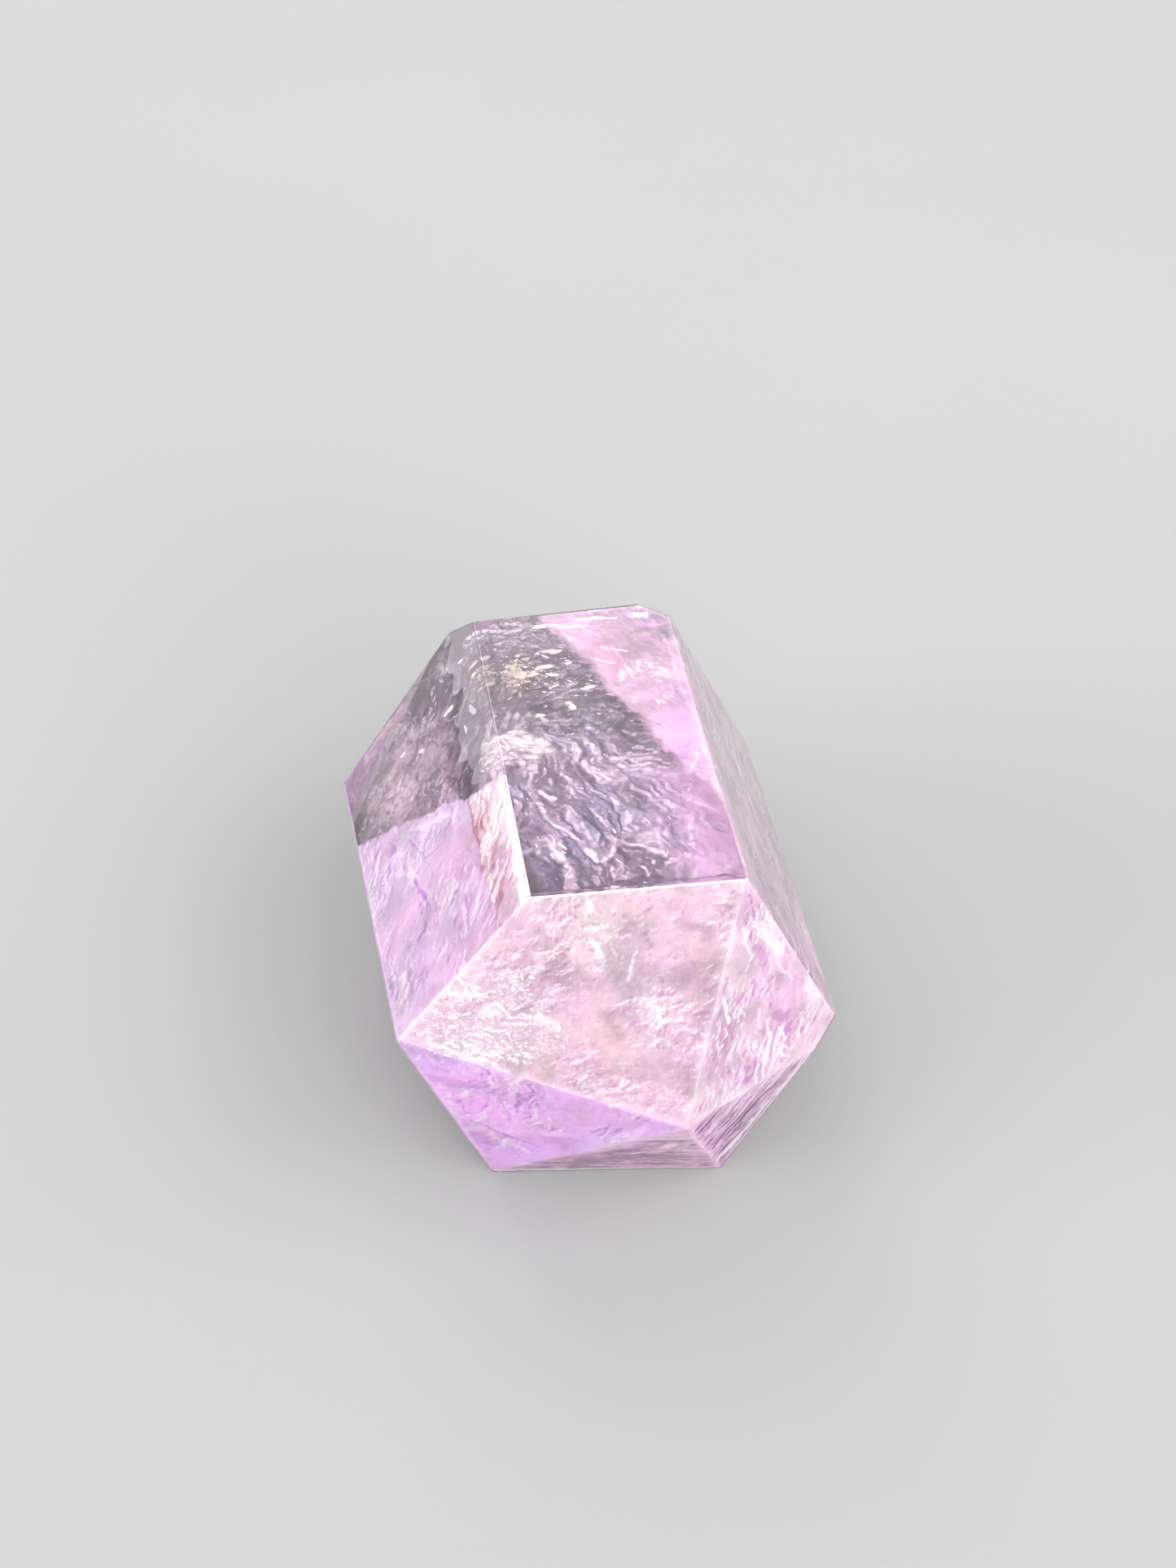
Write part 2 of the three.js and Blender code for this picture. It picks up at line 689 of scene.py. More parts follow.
@dataclass
class Veil:
    """A thin crinkled sheet sealed in the stone, cut off before it reaches the surface.

    It lies under a face at a depth, tipped out of the face's own plane by its dip in degrees. A whole sheet
    follows the face to all its edges, where it meets its neighbours. Each of its cuts keeps the side where
    one number times the place along plus another times the place across stays under a third. Milk is how
    cloudy the sheet is, cloud how uneven that is, and lines how clearly its ridges show. Sizes are in
    millimetres.
    """

    FLOW_MAP = "flow"
    MARKS = "marks"
    STAINS = "stains"

    # The layers of noise, each taken from a part of the noise that no other uses.
    WARP_ALONG = Pattern(6.0, (31, 0))
    WARP_ACROSS = Pattern(6.0, (0, 57))
    RIDGES = Pattern(1.0, (0, 11), keep=0.55)
    RIPPLES = Pattern(1.0, (5, 0))
    SWELL = Pattern(5.0, (3, 8), octaves=2, keep=0.5)
    PATCHES = Pattern(6.0, (71, 0))
    HAZE = Pattern(4.0, (9, 2))
    BEND = Pattern(9.0, octaves=3, keep=0.5)
    CURLS = Pattern(1.0, (40, 3), octaves=3)
    BREAKS = Pattern(1.5, (15, 0), octaves=3)
    TEARS = Pattern(1.4, (23, 5), keep=0.65)
    SWAY_ALONG = Pattern(2.2, (0, 3), octaves=3)
    SWAY_ACROSS = Pattern(2.2, (7, 0), octaves=3)
    OUTLINE = Pattern(3.5, octaves=5)

    # The ridges and the finer ripples over them, both with sharp creases.
    RIPPLES_A_RIDGE = (2.9, 2.8)
    RIDGE_EASE = 0.03
    RIPPLE_EASE = 0.04
    RIDGE_HEIGHT = 1.6
    RIPPLE_HEIGHT = 0.25
    SWELL_HEIGHT = 0.6
    SWELL_RANGE = (-0.6, 0.6)
    BULGE = 2

    # Painted highlight and shade: slopes toward one side are painted pale and the others dark, and angular
    # shards in two sizes are painted pale or dark like small facets catching the light.
    PATCH_RANGE = (-0.4, 0.25)
    PAINTED_LIGHT_TOWARD = (0.35, 0.94)
    CALM_PAINTED_LIGHT = 0.4
    LARGE_SHARDS = ((2.2, 3), (2, 7))
    SMALL_SHARDS = ((5, 9), (4.5, 1))
    LARGE_TONE = 0.28
    SMALL_TONE = 0.22
    CALM_SHARDS = 0.3
    HIGHLIGHT_RANGE = (0.10, 0.60)
    SHADE_RANGE = (0.14, 0.70)
    HAZE_RANGE = (-0.7, 0.7)

    # The threads, each with a painted shadow beside it.
    CURLS_A_GAP = 1.3
    UNEVEN_SPAN = 1.7
    UNEVEN_SHIFT = 4
    UNEVEN = 0.7
    BREAK_RANGE = (-0.35, 0.25)
    CALM_THREADS = 0.35
    SHADOW_BESIDE = 2.0
    SHADOW_THIN = 0.8
    SHADOW_TONE = 0.8

    # The sheet's border, the ways of its marks and its cover.
    SWAY = 0.45
    OUTLINE_SEED = 100
    OUTLINE_HEIGHT = 0.45
    EDGE_FADE = 0.3
    CALM_RIM = 0.35
    DARK_AND_SHADE_COVER = 0.85
    FLOWS_APART = 13.7
    SEAM_OVERLAP = 0.02
    FADE = 0.25
    BORDER_ROUNDS = 4
    BORDER_STRETCH = 2.5

    name: str
    finish: VeilFinish
    under: Face
    centre: Place
    depth: float
    along: Place
    length: float
    width: float
    milk: float = 0.2
    lines: float = 0.6
    dip: float = 0.0
    bend: float = 0.0
    relief: float = 0.35
    height: float = 1.0
    gap: float = 2.2
    stretch: float = 3.0
    fan: float = 0.0
    kink: float = 1.2
    patchy: float = 0.0
    cloud: float = 0.5
    shards: float = 0.8
    threads: float = 0.8
    thin: float = 0.07
    thread_gap: float = 1.0
    whole: bool = False
    edge_highlight: float = 0.3
    cuts: tuple[tuple[float, float, float], ...] = ()
    cut_width: float = 1.2
    cut_ragged: float = 2.0
    marks: tuple[Mark, ...] = ()
    step: float = 0.16
    clear: float = 0.2
    seed: int = 1

    def grid(self) -> tuple[np.ndarray, np.ndarray]:
        """Lays out the sheet's own coordinates in millimetres.

        Returns:
            The places along and across, each as a grid.
        """
        rows, columns = int(self.length / self.step) + 1, int(self.width / self.step) + 1
        along = np.linspace(-self.length / 2, self.length / 2, rows)
        across = np.linspace(-self.width / 2, self.width / 2, columns)
        return np.meshgrid(along, across, indexing="ij")

    def flowing(self, grain: Grain, s: np.ndarray, t: np.ndarray) -> tuple[np.ndarray, np.ndarray]:
        """Bends the sheet's coordinates, so that straight ridges would run in kinks and fans.

        Args:
            grain: the sheet's noise.
            s: places along the sheet.
            t: places across the sheet.

        Returns:
            The bent coordinates, in ridge widths.
        """
        x = s + self.kink * self.WARP_ALONG.over(grain, s, t)
        y = t + self.kink * self.WARP_ACROSS.over(grain, s, t)
        if self.fan:
            reach = x + self.length / 2 + self.fan
            x, y = np.hypot(reach, y), np.arctan2(y, reach) * (self.length / 2 + self.fan)
        return x / (self.gap * self.stretch), y / self.gap

    def crinkles(self, s: np.ndarray, t: np.ndarray) -> Crinkles:
        """Works out the crinkles.

        Args:
            s: places along the sheet.
            t: places across the sheet.

        Returns:
            The lift off the flat, and the marks that the crinkles make.
        """
        grain = Grain(self.seed)
        x, y = self.flowing(grain, s, t)
        finer_x, finer_y = self.RIPPLES_A_RIDGE
        ridges = np.hypot(self.RIDGES.over(grain, x, y), self.RIDGE_EASE)
        ripples = np.hypot(self.RIPPLES.over(grain, x * finer_x, y * finer_y), self.RIPPLE_EASE)
        swell = shoulder(self.SWELL.over(grain, s, t), *self.SWELL_RANGE)
        rippled = (self.RIPPLE_HEIGHT + self.SWELL_HEIGHT * swell) * ripples
        lift = -self.relief * (self.RIDGE_HEIGHT * ridges + rippled)
        low, high = self.PATCH_RANGE
        where = shoulder(self.PATCHES.over(grain, s, t), self.patchy + low, self.patchy + high)
        pale_and_highlight, dark_and_shade = self.painted_light_and_shards(grain, lift, x, y, where)
        pale, dark = self.paired_threads(grain, s, t, x, y, where)
        pale_and_highlight, dark_and_shade = np.maximum(pale_and_highlight, pale), np.maximum(dark_and_shade * (1 - pale), dark)
        haze = shoulder(self.HAZE.over(grain, s, t), *self.HAZE_RANGE)
        milk = self.milk * (1 - self.cloud + 2 * self.cloud * haze)
        bulge = self.BULGE * (s / self.length) ** 2 - self.BULGE * (t / self.width) ** 2
        lift += self.bend * (self.BEND.over(grain, s, t) + bulge)
        stain = np.broadcast_to(np.array([*self.finish.milk, 0.0]), (*s.shape, 4)).copy()
        return Crinkles(lift, milk, pale_and_highlight, dark_and_shade, stain)

    def painted_light_and_shards(
        self, grain: Grain, lift: np.ndarray, x: np.ndarray, y: np.ndarray, where: np.ndarray
    ) -> tuple[np.ndarray, np.ndarray]:
        """Finds the slopes and shards that are painted pale or dark, a painted highlight and painted shade.

        Args:
            grain: the sheet's noise.
            lift: the lift off the flat.
            x: the bent coordinates along the ridges.
            y: the bent coordinates across the ridges.
            where: how crinkled each place is.

        Returns:
            How pale and how dark each place is.
        """
        rise_along, rise_across = np.gradient(lift, self.step)
        toward_along, toward_across = self.PAINTED_LIGHT_TOWARD
        # Painted light: slopes that face one way are painted pale and those that face away are painted dark.
        slope = (toward_along * rise_along + toward_across * rise_across) * partly(self.CALM_PAINTED_LIGHT, where)
        large, small = (
            grain.shards(x * fine_x + shift_x, y * fine_y + shift_y)
            for (fine_x, shift_x), (fine_y, shift_y) in (self.LARGE_SHARDS, self.SMALL_SHARDS)
        )
        tones = self.LARGE_TONE * large * where + self.SMALL_TONE * small * partly(self.CALM_SHARDS, where)
        slope += self.shards * tones
        return shoulder(slope, *self.HIGHLIGHT_RANGE), shoulder(-slope, *self.SHADE_RANGE)

    def paired_threads(
        self, grain: Grain, s: np.ndarray, t: np.ndarray, x: np.ndarray, y: np.ndarray, where: np.ndarray
    ) -> tuple[np.ndarray, np.ndarray]:
        """Draws thin curling threads, each pale with a darker one close beside it that is its painted shadow.

        Args:
            grain: the sheet's noise.
            s: places along the sheet.
            t: places across the sheet.
            x: the bent coordinates along the ridges.
            y: the bent coordinates across the ridges.
            where: how crinkled each place is.

        Returns:
            How pale and how dark the threads make each place.
        """
        curls = self.CURLS_A_GAP / self.thread_gap
        curl = self.CURLS.over(grain, x * curls, y * curls)
        uneven = grain.smooth(s / self.UNEVEN_SPAN + self.UNEVEN_SHIFT, t / self.UNEVEN_SPAN)
        thin = self.thin * (1 + self.UNEVEN * uneven)
        broken = shoulder(self.BREAKS.over(grain, s, t), *self.BREAK_RANGE) * partly(self.CALM_THREADS, where)
        pale = np.exp(-((curl / thin) ** 2))
        # The darker line beside each thread is a painted shadow.
        dark = np.exp(-(((curl - self.SHADOW_BESIDE * thin) / (self.SHADOW_THIN * thin)) ** 2))
        return self.threads * broken * pale, self.SHADOW_TONE * self.threads * broken * dark

    def add_marks(
        self, made: Crinkles, grain: Grain, s: np.ndarray, t: np.ndarray, places: np.ndarray
    ) -> None:
        """Adds the sheet's own streaks and spots to the marks that the crinkles make.

        Args:
            made: the crinkles, which are changed.
            grain: the sheet's noise.
            s: places along the sheet.
            t: places across the sheet.
            places: the same places in the stone.
        """
        torn = self.TEARS.over(grain, s, t)
        ahead, across = unit(places[-1, 0] - places[0, 0]), unit(places[0, -1] - places[0, 0])
        flat = np.cross(ahead, across)
        wavy = places + np.multiply.outer(self.SWAY * self.SWAY_ALONG.over(grain, s, t), ahead)
        wavy += np.multiply.outer(self.SWAY * self.SWAY_ACROSS.over(grain, s, t), across)
        level = places[0, 0] @ flat
        for mark in self.marks:
            start, end = (np.array(p) + flat * (level - np.array(p) @ flat) for p in (mark.start, mark.end))
            way = end - start
            along = np.clip((wavy - start) @ way / max(way @ way, NEXT_TO_NOTHING), 0.0, 1.0)
            off = np.linalg.norm(wavy - start - np.multiply.outer(along, way), axis=-1) / mark.reach
            made.take(mark, shoulder(1 - off + mark.ragged * torn, 0.0, mark.soft))

    def axes(self, stone: Stone) -> tuple[np.ndarray, np.ndarray, np.ndarray]:
        """Gives the sheet's directions.

        Args:
            stone: the stone that the sheet lies in.

        Returns:
            The directions along the sheet, across it and out of it.
        """
        facing_out = stone.normals[stone.index_of(self.under)]
        ahead = np.array(self.along, float)
        ahead = unit(ahead - facing_out * (ahead @ facing_out))
        turn = Matrix.Rotation(math.radians(self.dip), 3, Vector(np.cross(facing_out, ahead)))
        ahead, facing_out = np.array(turn @ Vector(ahead)), np.array(turn @ Vector(facing_out))
        return ahead, np.cross(facing_out, ahead), facing_out

    def drawn_in(self, stone: Stone, places: np.ndarray) -> tuple[np.ndarray, np.ndarray]:
        """Draws the places that lie past a whole sheet's border back onto it.

        Args:
            stone: the stone that the sheet lies in.
            places: the sheet's flat places.

        Returns:
            The places, and how far each was inside the border, less than 0 where it was outside.
        """
        own = stone.index_of(self.under)
        others = [index for index in range(len(stone.depths)) if index != own]
        normals, reaches = stone.normals[others], stone.depths[others] / MM - (self.depth - self.SEAM_OVERLAP)
        slopes = normals - np.outer(normals @ stone.normals[own], stone.normals[own])
        first = (reaches - places @ normals.T).min(axis=-1)
        for _ in range(self.BORDER_ROUNDS):
            room = reaches - places @ normals.T
            slope = slopes[room.argmin(axis=-1)]
            short = np.minimum(room.min(axis=-1), 0.0)
            places = places + (short / (slope * slope).sum(axis=-1))[..., None] * slope
        return places, first

    def build(self, stone: Stone) -> bpy.types.Object:
        """Builds the sheet.

        Args:
            stone: the stone that the sheet stays inside.

        Returns:
            The sheet.
        """
        own = stone.index_of(self.under)
        ahead, across, facing_out = self.axes(stone)
        centre = np.array(self.centre, float)
        centre += stone.normals[own] * (stone.depths[own] / MM - self.depth - centre @ stone.normals[own])
        s, t = self.grid()
        grain = Grain(self.seed + self.OUTLINE_SEED)
        made = self.crinkles(s, t)
        flat = centre + np.multiply.outer(s, ahead) + np.multiply.outer(t, across)
        self.add_marks(made, grain, s, t, flat)
        ragged = self.OUTLINE_HEIGHT * self.OUTLINE.over(grain, s, t)
        if self.whole:
            places, room = self.drawn_in(stone, flat)
            calm = shoulder(room, 0.0, self.CALM_RIM)
            made.lift *= calm
            made.dark_and_shade *= calm
            # A pale line along the stone's edges, a painted highlight of the rounded edges.
            made.pale_and_highlight = np.maximum(made.pale_and_highlight, self.edge_highlight * (1 - calm))
            fade = edge = np.ones_like(s)
        else:
            places, edge = flat, 1 - np.hypot(s / self.length * 2, t / self.width * 2) + ragged
        for slope_s, slope_t, reach in self.cuts:
            past = reach - slope_s * s - slope_t * t + self.cut_ragged * ragged
            edge = np.minimum(edge, self.EDGE_FADE * past / self.cut_width)
        points = (places + self.height * np.multiply.outer(made.lift, facing_out)) * MM
        if not self.whole:
            room = stone.depth_of(points) / MM - self.clear
            fade = shoulder(room, 0.0, min(self.FADE, 0.5 * (self.depth - self.clear)))
        fade = fade * shoulder(edge, 0.0, self.EDGE_FADE)
        cover = np.maximum(made.milk, self.lines * np.maximum(made.pale_and_highlight, self.DARK_AND_SHADE_COVER * made.dark_and_shade)) * fade
        near = np.linalg.norm(places - flat, axis=-1) < self.BORDER_STRETCH * self.step
        quads = self.quads((room > 0) & (edge > 0), near & (edge > 0), self.whole)
        looks = np.stack([cover, made.pale_and_highlight, made.dark_and_shade, np.ones_like(s)], axis=-1)
        flow = np.stack([s, t + self.FLOWS_APART * self.seed], axis=-1)
        layers = {self.MARKS: looks.reshape(-1, 4), self.STAINS: made.stain.reshape(-1, 4)}
        return self.sheet(points.reshape(-1, 3), quads, flow.reshape(-1, 2), layers)

    @staticmethod
    def quads(inside: np.ndarray, usable: np.ndarray, any_corner: bool) -> np.ndarray:
        """Picks the grid's squares that belong to the sheet.

        Args:
            inside: which grid points are inside the sheet's border.
            usable: which grid points may be used at all.
            any_corner: whether one corner inside is enough.

        Returns:
            Each square's four point numbers.
        """
        index = np.arange(inside.size).reshape(inside.shape)

        def corners(grid: np.ndarray) -> np.ndarray:
            """Gives each square's four corner values."""
            return np.stack([grid[:-1, :-1], grid[1:, :-1], grid[1:, 1:], grid[:-1, 1:]], axis=-1)

        held = corners(inside)
        kept = (held.any(axis=-1) if any_corner else held.all(axis=-1)) & corners(usable).all(axis=-1)
        return corners(index)[kept]

    def sheet(
        self, points: np.ndarray, quads: np.ndarray, flow: np.ndarray, layers: dict[str, np.ndarray]
    ) -> bpy.types.Object:
        """Makes the sheet's mesh and dresses it.

        Args:
            points: every grid point, in metres.
            quads: the squares that are kept.
            flow: each point's place on the sheet.
            layers: each point's four values in each of the layers that the finish reads.

        Returns:
            The sheet.
        """
        used, quads = np.unique(quads, return_inverse=True)
        quads = quads.reshape(-1, 4)
        mesh = bpy.data.meshes.new(self.name)
        mesh.from_pydata(points[used].tolist(), [], quads.tolist())
        mesh.shade_smooth()
        mesh.uv_layers.new(name=self.FLOW_MAP).uv.foreach_set("vector", flow[used][quads.ravel()].ravel())
        for name, values in layers.items():
            colours = mesh.attributes.new(name, "FLOAT_COLOR", "POINT")
            colours.data.foreach_set("color", np.clip(values[used], 0.0, 1.0).ravel())
        mesh.materials.append(self.finish.material())
        return placed(self.name, mesh)


@dataclass
class Zone(Veil):
    """A cloudy growth zone, or a sheet of painted shade: a whole sheet close under a face."""

    whole: bool = True
    step: float = 0.11


@dataclass
class FlakeSwarm:
    """Many small flat flakes in one joined mesh. Sizes are in millimetres."""

    SIDES = 6
    SPREAD = 0.5
    MOSTLY_SMALL = 3
    CHIPPED = (0.55, 1.0)

    name: str
    finish: FlakeFinish
    centre: Place
    spread: Place
    count: int
    size: tuple[float, float]
    faces: tuple[float, float] = (0.0, 0.0)
    along: Place = (1.0, 0.0, 0.0)
    longer: float = 2.5
    thickness: float = 0.12
    scatter: float = 0.35
    clear: float = 0.4
    seed: int = 1

    def build(self, stone: Stone) -> bpy.types.Object:
        """Builds the swarm.

        Args:
            stone: the stone that the flakes stay inside.

        Returns:
            The flakes as one mesh.
        """
        rng = np.random.default_rng(self.seed)
        normal = facing(*self.faces)
        ahead = np.array(self.along, float)
        ahead = unit(ahead - normal * (ahead @ normal))
        frame = np.stack([ahead, np.cross(normal, ahead), normal])
        spots = rng.normal(size=(self.count, 3)) * self.SPREAD
        spots = np.array(self.centre) + (spots * np.array(self.spread)) @ frame
        smallest, largest = self.size
        sizes = smallest + (largest - smallest) * rng.random(self.count) ** self.MOSTLY_SMALL
        needed = self.clear + sizes * (self.thickness + self.scatter * self.longer)
        fits = stone.depth_of(spots * MM) > needed * MM
        spots, sizes = spots[fits], sizes[fits]
        turn = unit(frame + self.scatter * rng.normal(size=(len(spots), 3, 3)))
        long, flat = turn[:, 0], turn[:, 2]
        side = unit(np.cross(flat, long))
        flat = np.cross(long, side)
        angles = np.arange(self.SIDES) * 2 * math.pi / self.SIDES
        radii = sizes[:, None] * rng.uniform(*self.CHIPPED, (len(spots), self.SIDES))
        ring = (
            (radii * np.cos(angles) * self.longer)[..., None] * long[:, None]
            + (radii * np.sin(angles))[..., None] * side[:, None]
        )
        tips = np.stack([flat, -flat], axis=1) * (sizes * self.thickness)[:, None, None]
        points = (spots[:, None] + np.concatenate([ring, tips], axis=1)) * MM
        top, bottom = self.SIDES, self.SIDES + 1
        around = [(i, (i + 1) % self.SIDES, top) for i in range(self.SIDES)]
        around += [((i + 1) % self.SIDES, i, bottom) for i in range(self.SIDES)]
        faces = np.array(around)[None] + (np.arange(len(spots)) * (self.SIDES + 2))[:, None, None]
        mesh = bpy.data.meshes.new(self.name)
        mesh.from_pydata(points.reshape(-1, 3).tolist(), [], faces.reshape(-1, 3).tolist())
        mesh.materials.append(self.finish.material())
        return placed(self.name, mesh)


def placed(name: str, mesh: bpy.types.Mesh) -> bpy.types.Object:
    """Puts an inclusion's mesh in the stone's body.

    Args:
        name: the piece's name.
        mesh: its mesh, in metres in the frame.

    Returns:
        The piece.
    """
    piece = bpy.data.objects.new(name, mesh)
    bpy.context.scene.collection.objects.link(piece)
    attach(piece, BODY)
    log.info("%s: %d faces", name, len(mesh.polygons))
    return piece


@dataclass
class Sealed:
    """A group of things that are sealed in the stone. Sizes are in millimetres.

    Skin is how deep the growth zones lie. The others are grid steps, from sheets that show closely to those
    that only show through the stone.
    """

    skin: float = 0.25
    fine: float = 0.11
    medium: float = 0.13
    plain: float = 0.2
    coarse: float = 0.3

    def parts(self) -> list[Veil | FlakeSwarm]:
        """Lists the group's pieces.

        Returns:
            The pieces, in the order in which they are made.
        """
        raise NotImplementedError

    def build(self, stone: Stone) -> None:
        """Builds the group.

        Args:
            stone: the stone that everything stays inside.
        """
        for part in self.parts():
            part.build(stone)


@dataclass
class BluntZones(Sealed):
    """The cloudy growth zones under the blunt end's faces."""

    def parts(self) -> list[Veil]:
        """Lists the blunt end's zones and the feathers in front of them.

        Returns:
            The pieces, in the order in which they are made.
        """
        pink = VeilFinish(
            "pink_zone", milk=(0.72, 0.52, 0.64), other_milk=(0.73, 0.58, 0.60), pale_and_highlight=(1.0, 0.98, 0.98),
            dark_and_shade=(0.52, 0.32, 0.46), gloss=0.05, through=0.25,
        )
        rosy = VeilFinish(
            "rosy_zone", milk=(0.86, 0.64, 0.79), other_milk=(0.86, 0.73, 0.75), pale_and_highlight=(1.0, 0.99, 0.99),
            dark_and_shade=(0.64, 0.30, 0.60), gloss=0.08, through=0.25,
        )
        violet = VeilFinish(
            "violet_zone", milk=(1.0, 0.56, 1.0), other_milk=(0.86, 0.58, 1.0), pale_and_highlight=(1.0, 0.93, 1.0),
            dark_and_shade=(0.48, 0.22, 0.66), gloss=0.05, through=0.25,
        )
        streaky = VeilFinish(
            "streaky_zone", milk=(0.95, 0.55, 0.86), other_milk=(0.88, 0.62, 0.78), pale_and_highlight=(1.0, 0.98, 0.98),
            dark_and_shade=(0.26, 0.10, 0.26), gloss=0.08, through=0.3,
        )
        feather = VeilFinish(
            "feathers", milk=(0.96, 0.92, 0.93), other_milk=(0.92, 0.84, 0.86), pale_and_highlight=(1.0, 1.0, 0.99),
            dark_and_shade=(0.60, 0.44, 0.54), gloss=0.05, through=0.1,
        )
        return [
            Veil(
                "feathers", feather, Face.BLUNT_BROAD, (-9.4, -24.5, 21.9), 0.18, (1, 0, -0.25), 11.5, 9.5,
                milk=0.0, lines=0.95, relief=0.3, height=0.1, gap=0.7, stretch=1.5, patchy=-0.2, cloud=1.0,
                threads=0.9, thin=0.12, marks=self.feather_marks(), step=self.fine, clear=0.1, seed=6,
            ),
            Zone(
                "broad_zone", pink, Face.BLUNT_BROAD, (0, -25, 20), self.skin, (1, 0, 0.6), 36, 36,
                milk=0.92, lines=0.85, relief=0.26, height=0.5, gap=1.3, stretch=1.6, patchy=0.05,
                cloud=0.35, threads=0.55, marks=self.broad_marks(), seed=21,
            ),
            Zone(
                "left_zone", violet, Face.BLUNT_LEFT, (-8, -23, 8), self.skin, (0.3, 0, 1), 34, 30,
                milk=0.85, lines=1.0, relief=0.3, height=0.4, gap=2.4, stretch=2.6, patchy=0.1, cloud=0.2,
                threads=0.7, marks=self.left_marks(), seed=22,
            ),
            Zone(
                "right_zone", rosy, Face.BLUNT_RIGHT, (11, -22, 15), self.skin, (0.2, 0, 1), 34, 30,
                milk=0.85, lines=1.0, relief=0.36, height=0.35, gap=2.0, stretch=2.2, cloud=0.25,
                threads=0.9, marks=self.right_marks(), seed=23,
            ),
            Zone(
                "low_zone", streaky, Face.BLUNT_LOW, (0, -20, 4), self.skin, (1, 0, 0.05), 36, 20,
                milk=0.85, lines=1.0, height=0.3, gap=1.5, stretch=7.0, kink=0.5, marks=self.low_marks(),
                seed=24,
            ),
            Zone(
                "low_right_zone", streaky, Face.BLUNT_LOW_RIGHT, (9, -20, 7), self.skin, (1, 0, 0.9), 34,
                26, milk=0.85, lines=1.0, relief=0.5, height=0.2, gap=1.6, stretch=6.0, kink=0.6,
                patchy=-0.3, marks=self.low_right_marks(), seed=25,
            ),
        ]

    def broad_marks(self) -> tuple[Mark, ...]:
        """Lists the white feathers and greyish places under the broad blunt face.

        Returns:
            The marks.
        """
        return (
            Mark((-13.6, -24.4, 20.4), (-8.6, -25.0, 17.2), 0.22, frost=1.0, ragged=0.3),
            Mark((-12.2, -24.4, 20.6), (-9.2, -24.9, 18.2), 0.16, frost=0.9, ragged=0.4),
            Mark((-6.2, -24.7, 21.4), (-5.4, -24.7, 20.6), 0.4, frost=0.7, ragged=1.4),
            Mark(
                (-3.4, -24.0, 31.0), (-0.6, -24.5, 25.5), 2.2, dye=0.55, tint=(0.60, 0.60, 0.56),
                ragged=0.9, soft=1.0,
            ),
            Mark(
                (-0.6, -24.5, 25.5), (2.6, -25.2, 17.8), 2.1, dye=0.5, tint=(0.60, 0.55, 0.56), ragged=0.9,
                soft=1.0,
            ),
            Mark(
                (-1.6, -24.9, 19.6), (-1.2, -25.3, 14.0), 1.8, dye=0.4, tint=(0.76, 0.56, 0.56), ragged=0.9,
                soft=1.0,
            ),
            Mark(
                (4.8, -24.8, 25.6), (5.8, -25.0, 23.0), 1.8, dye=0.5, tint=(0.76, 0.58, 0.56), ragged=0.9,
                soft=1.0,
            ),
            Mark((-2.6, -24.1, 30.4), (-2.3, -24.2, 29.6), 0.4, frost=1.0, ragged=1.2),
            Mark((-2.4, -24.4, 27.0), (-1.8, -24.5, 25.4), 0.3, frost=0.8, ragged=1.7),
            Mark((-1.0, -24.5, 27.0), (-0.9, -24.6, 25.4), 0.13, frost=0.8, ragged=0.8),
            Mark((0.9, -24.8, 23.4), (1.8, -25.0, 20.6), 0.35, frost=0.5, ragged=1.8),
            Mark((-0.2, -24.8, 21.6), (0.8, -25.1, 19.2), 0.3, shade=0.4, ragged=1.8),
            Mark((3.0, -24.3, 29.4), (4.2, -24.5, 27.4), 0.5, shade=0.25, ragged=1.6),
            Mark((0.6, -24.6, 26.2), (0.0, -24.8, 23.6), 0.14, frost=0.9),
            Mark((1.6, -24.9, 21.6), (2.2, -25.0, 19.8), 0.14, frost=0.9),
            Mark((3.4, -24.4, 28.0), (5.2, -24.4, 27.0), 0.3, shade=0.35, ragged=1.0),
            Mark((-3.2, -25.2, 15.2), (-2.2, -25.3, 14.6), 0.5, frost=0.7, ragged=1.2),
        )

    def feather_marks(self) -> tuple[Mark, ...]:
        """Lists the whitest places of the feathers.

        Returns:
            The marks.
        """
        return (
            Mark((-9.6, -24.5, 22.6), (-8.6, -24.6, 22.2), 0.6, frost=0.6, haze=0.4, ragged=1.8),
            Mark((-11.4, -24.4, 24.2), (-10.6, -24.4, 24.0), 0.5, frost=0.6, haze=0.4, ragged=1.8),
            Mark((-11.0, -24.5, 19.9), (-9.4, -24.9, 18.9), 0.4, frost=0.5, haze=0.4, ragged=1.8),
        )

    def left_marks(self) -> tuple[Mark, ...]:
        """Lists the violet shades and thin lines under the blunt end's left face.

        Returns:
            The marks.
        """
        return (
            Mark((-13.8, -22.5, 15.6), (-9.5, -23.0, 14.5), 1.0, shade=0.35, ragged=1.0),
            Mark(
                (-7.6, -21.8, 9.4), (-1.0, -24.8, 11.8), 3.4, dye=0.8, tint=(1.0, 0.61, 0.96), ragged=0.9,
                soft=1.0,
            ),
            Mark((-10.8, -20.4, 9.0), (-8.0, -20.3, 6.7), 0.13, shade=0.8, ragged=0.3),
            Mark((-8.0, -20.3, 6.7), (-5.9, -20.3, 5.3), 0.11, shade=0.7, ragged=0.3),
            Mark((-9.6, -20.0, 7.0), (-6.6, -19.6, 4.2), 0.35, frost=0.7, ragged=0.9),
            Mark((-7.4, -18.6, 2.4), (2.4, -24.3, 8.8), 0.22, shade=0.85, ragged=0.3),
            Mark((-11.0, -20.0, 8.0), (-9.4, -18.6, 4.4), 1.0, shade=0.3, ragged=1.0),
        )

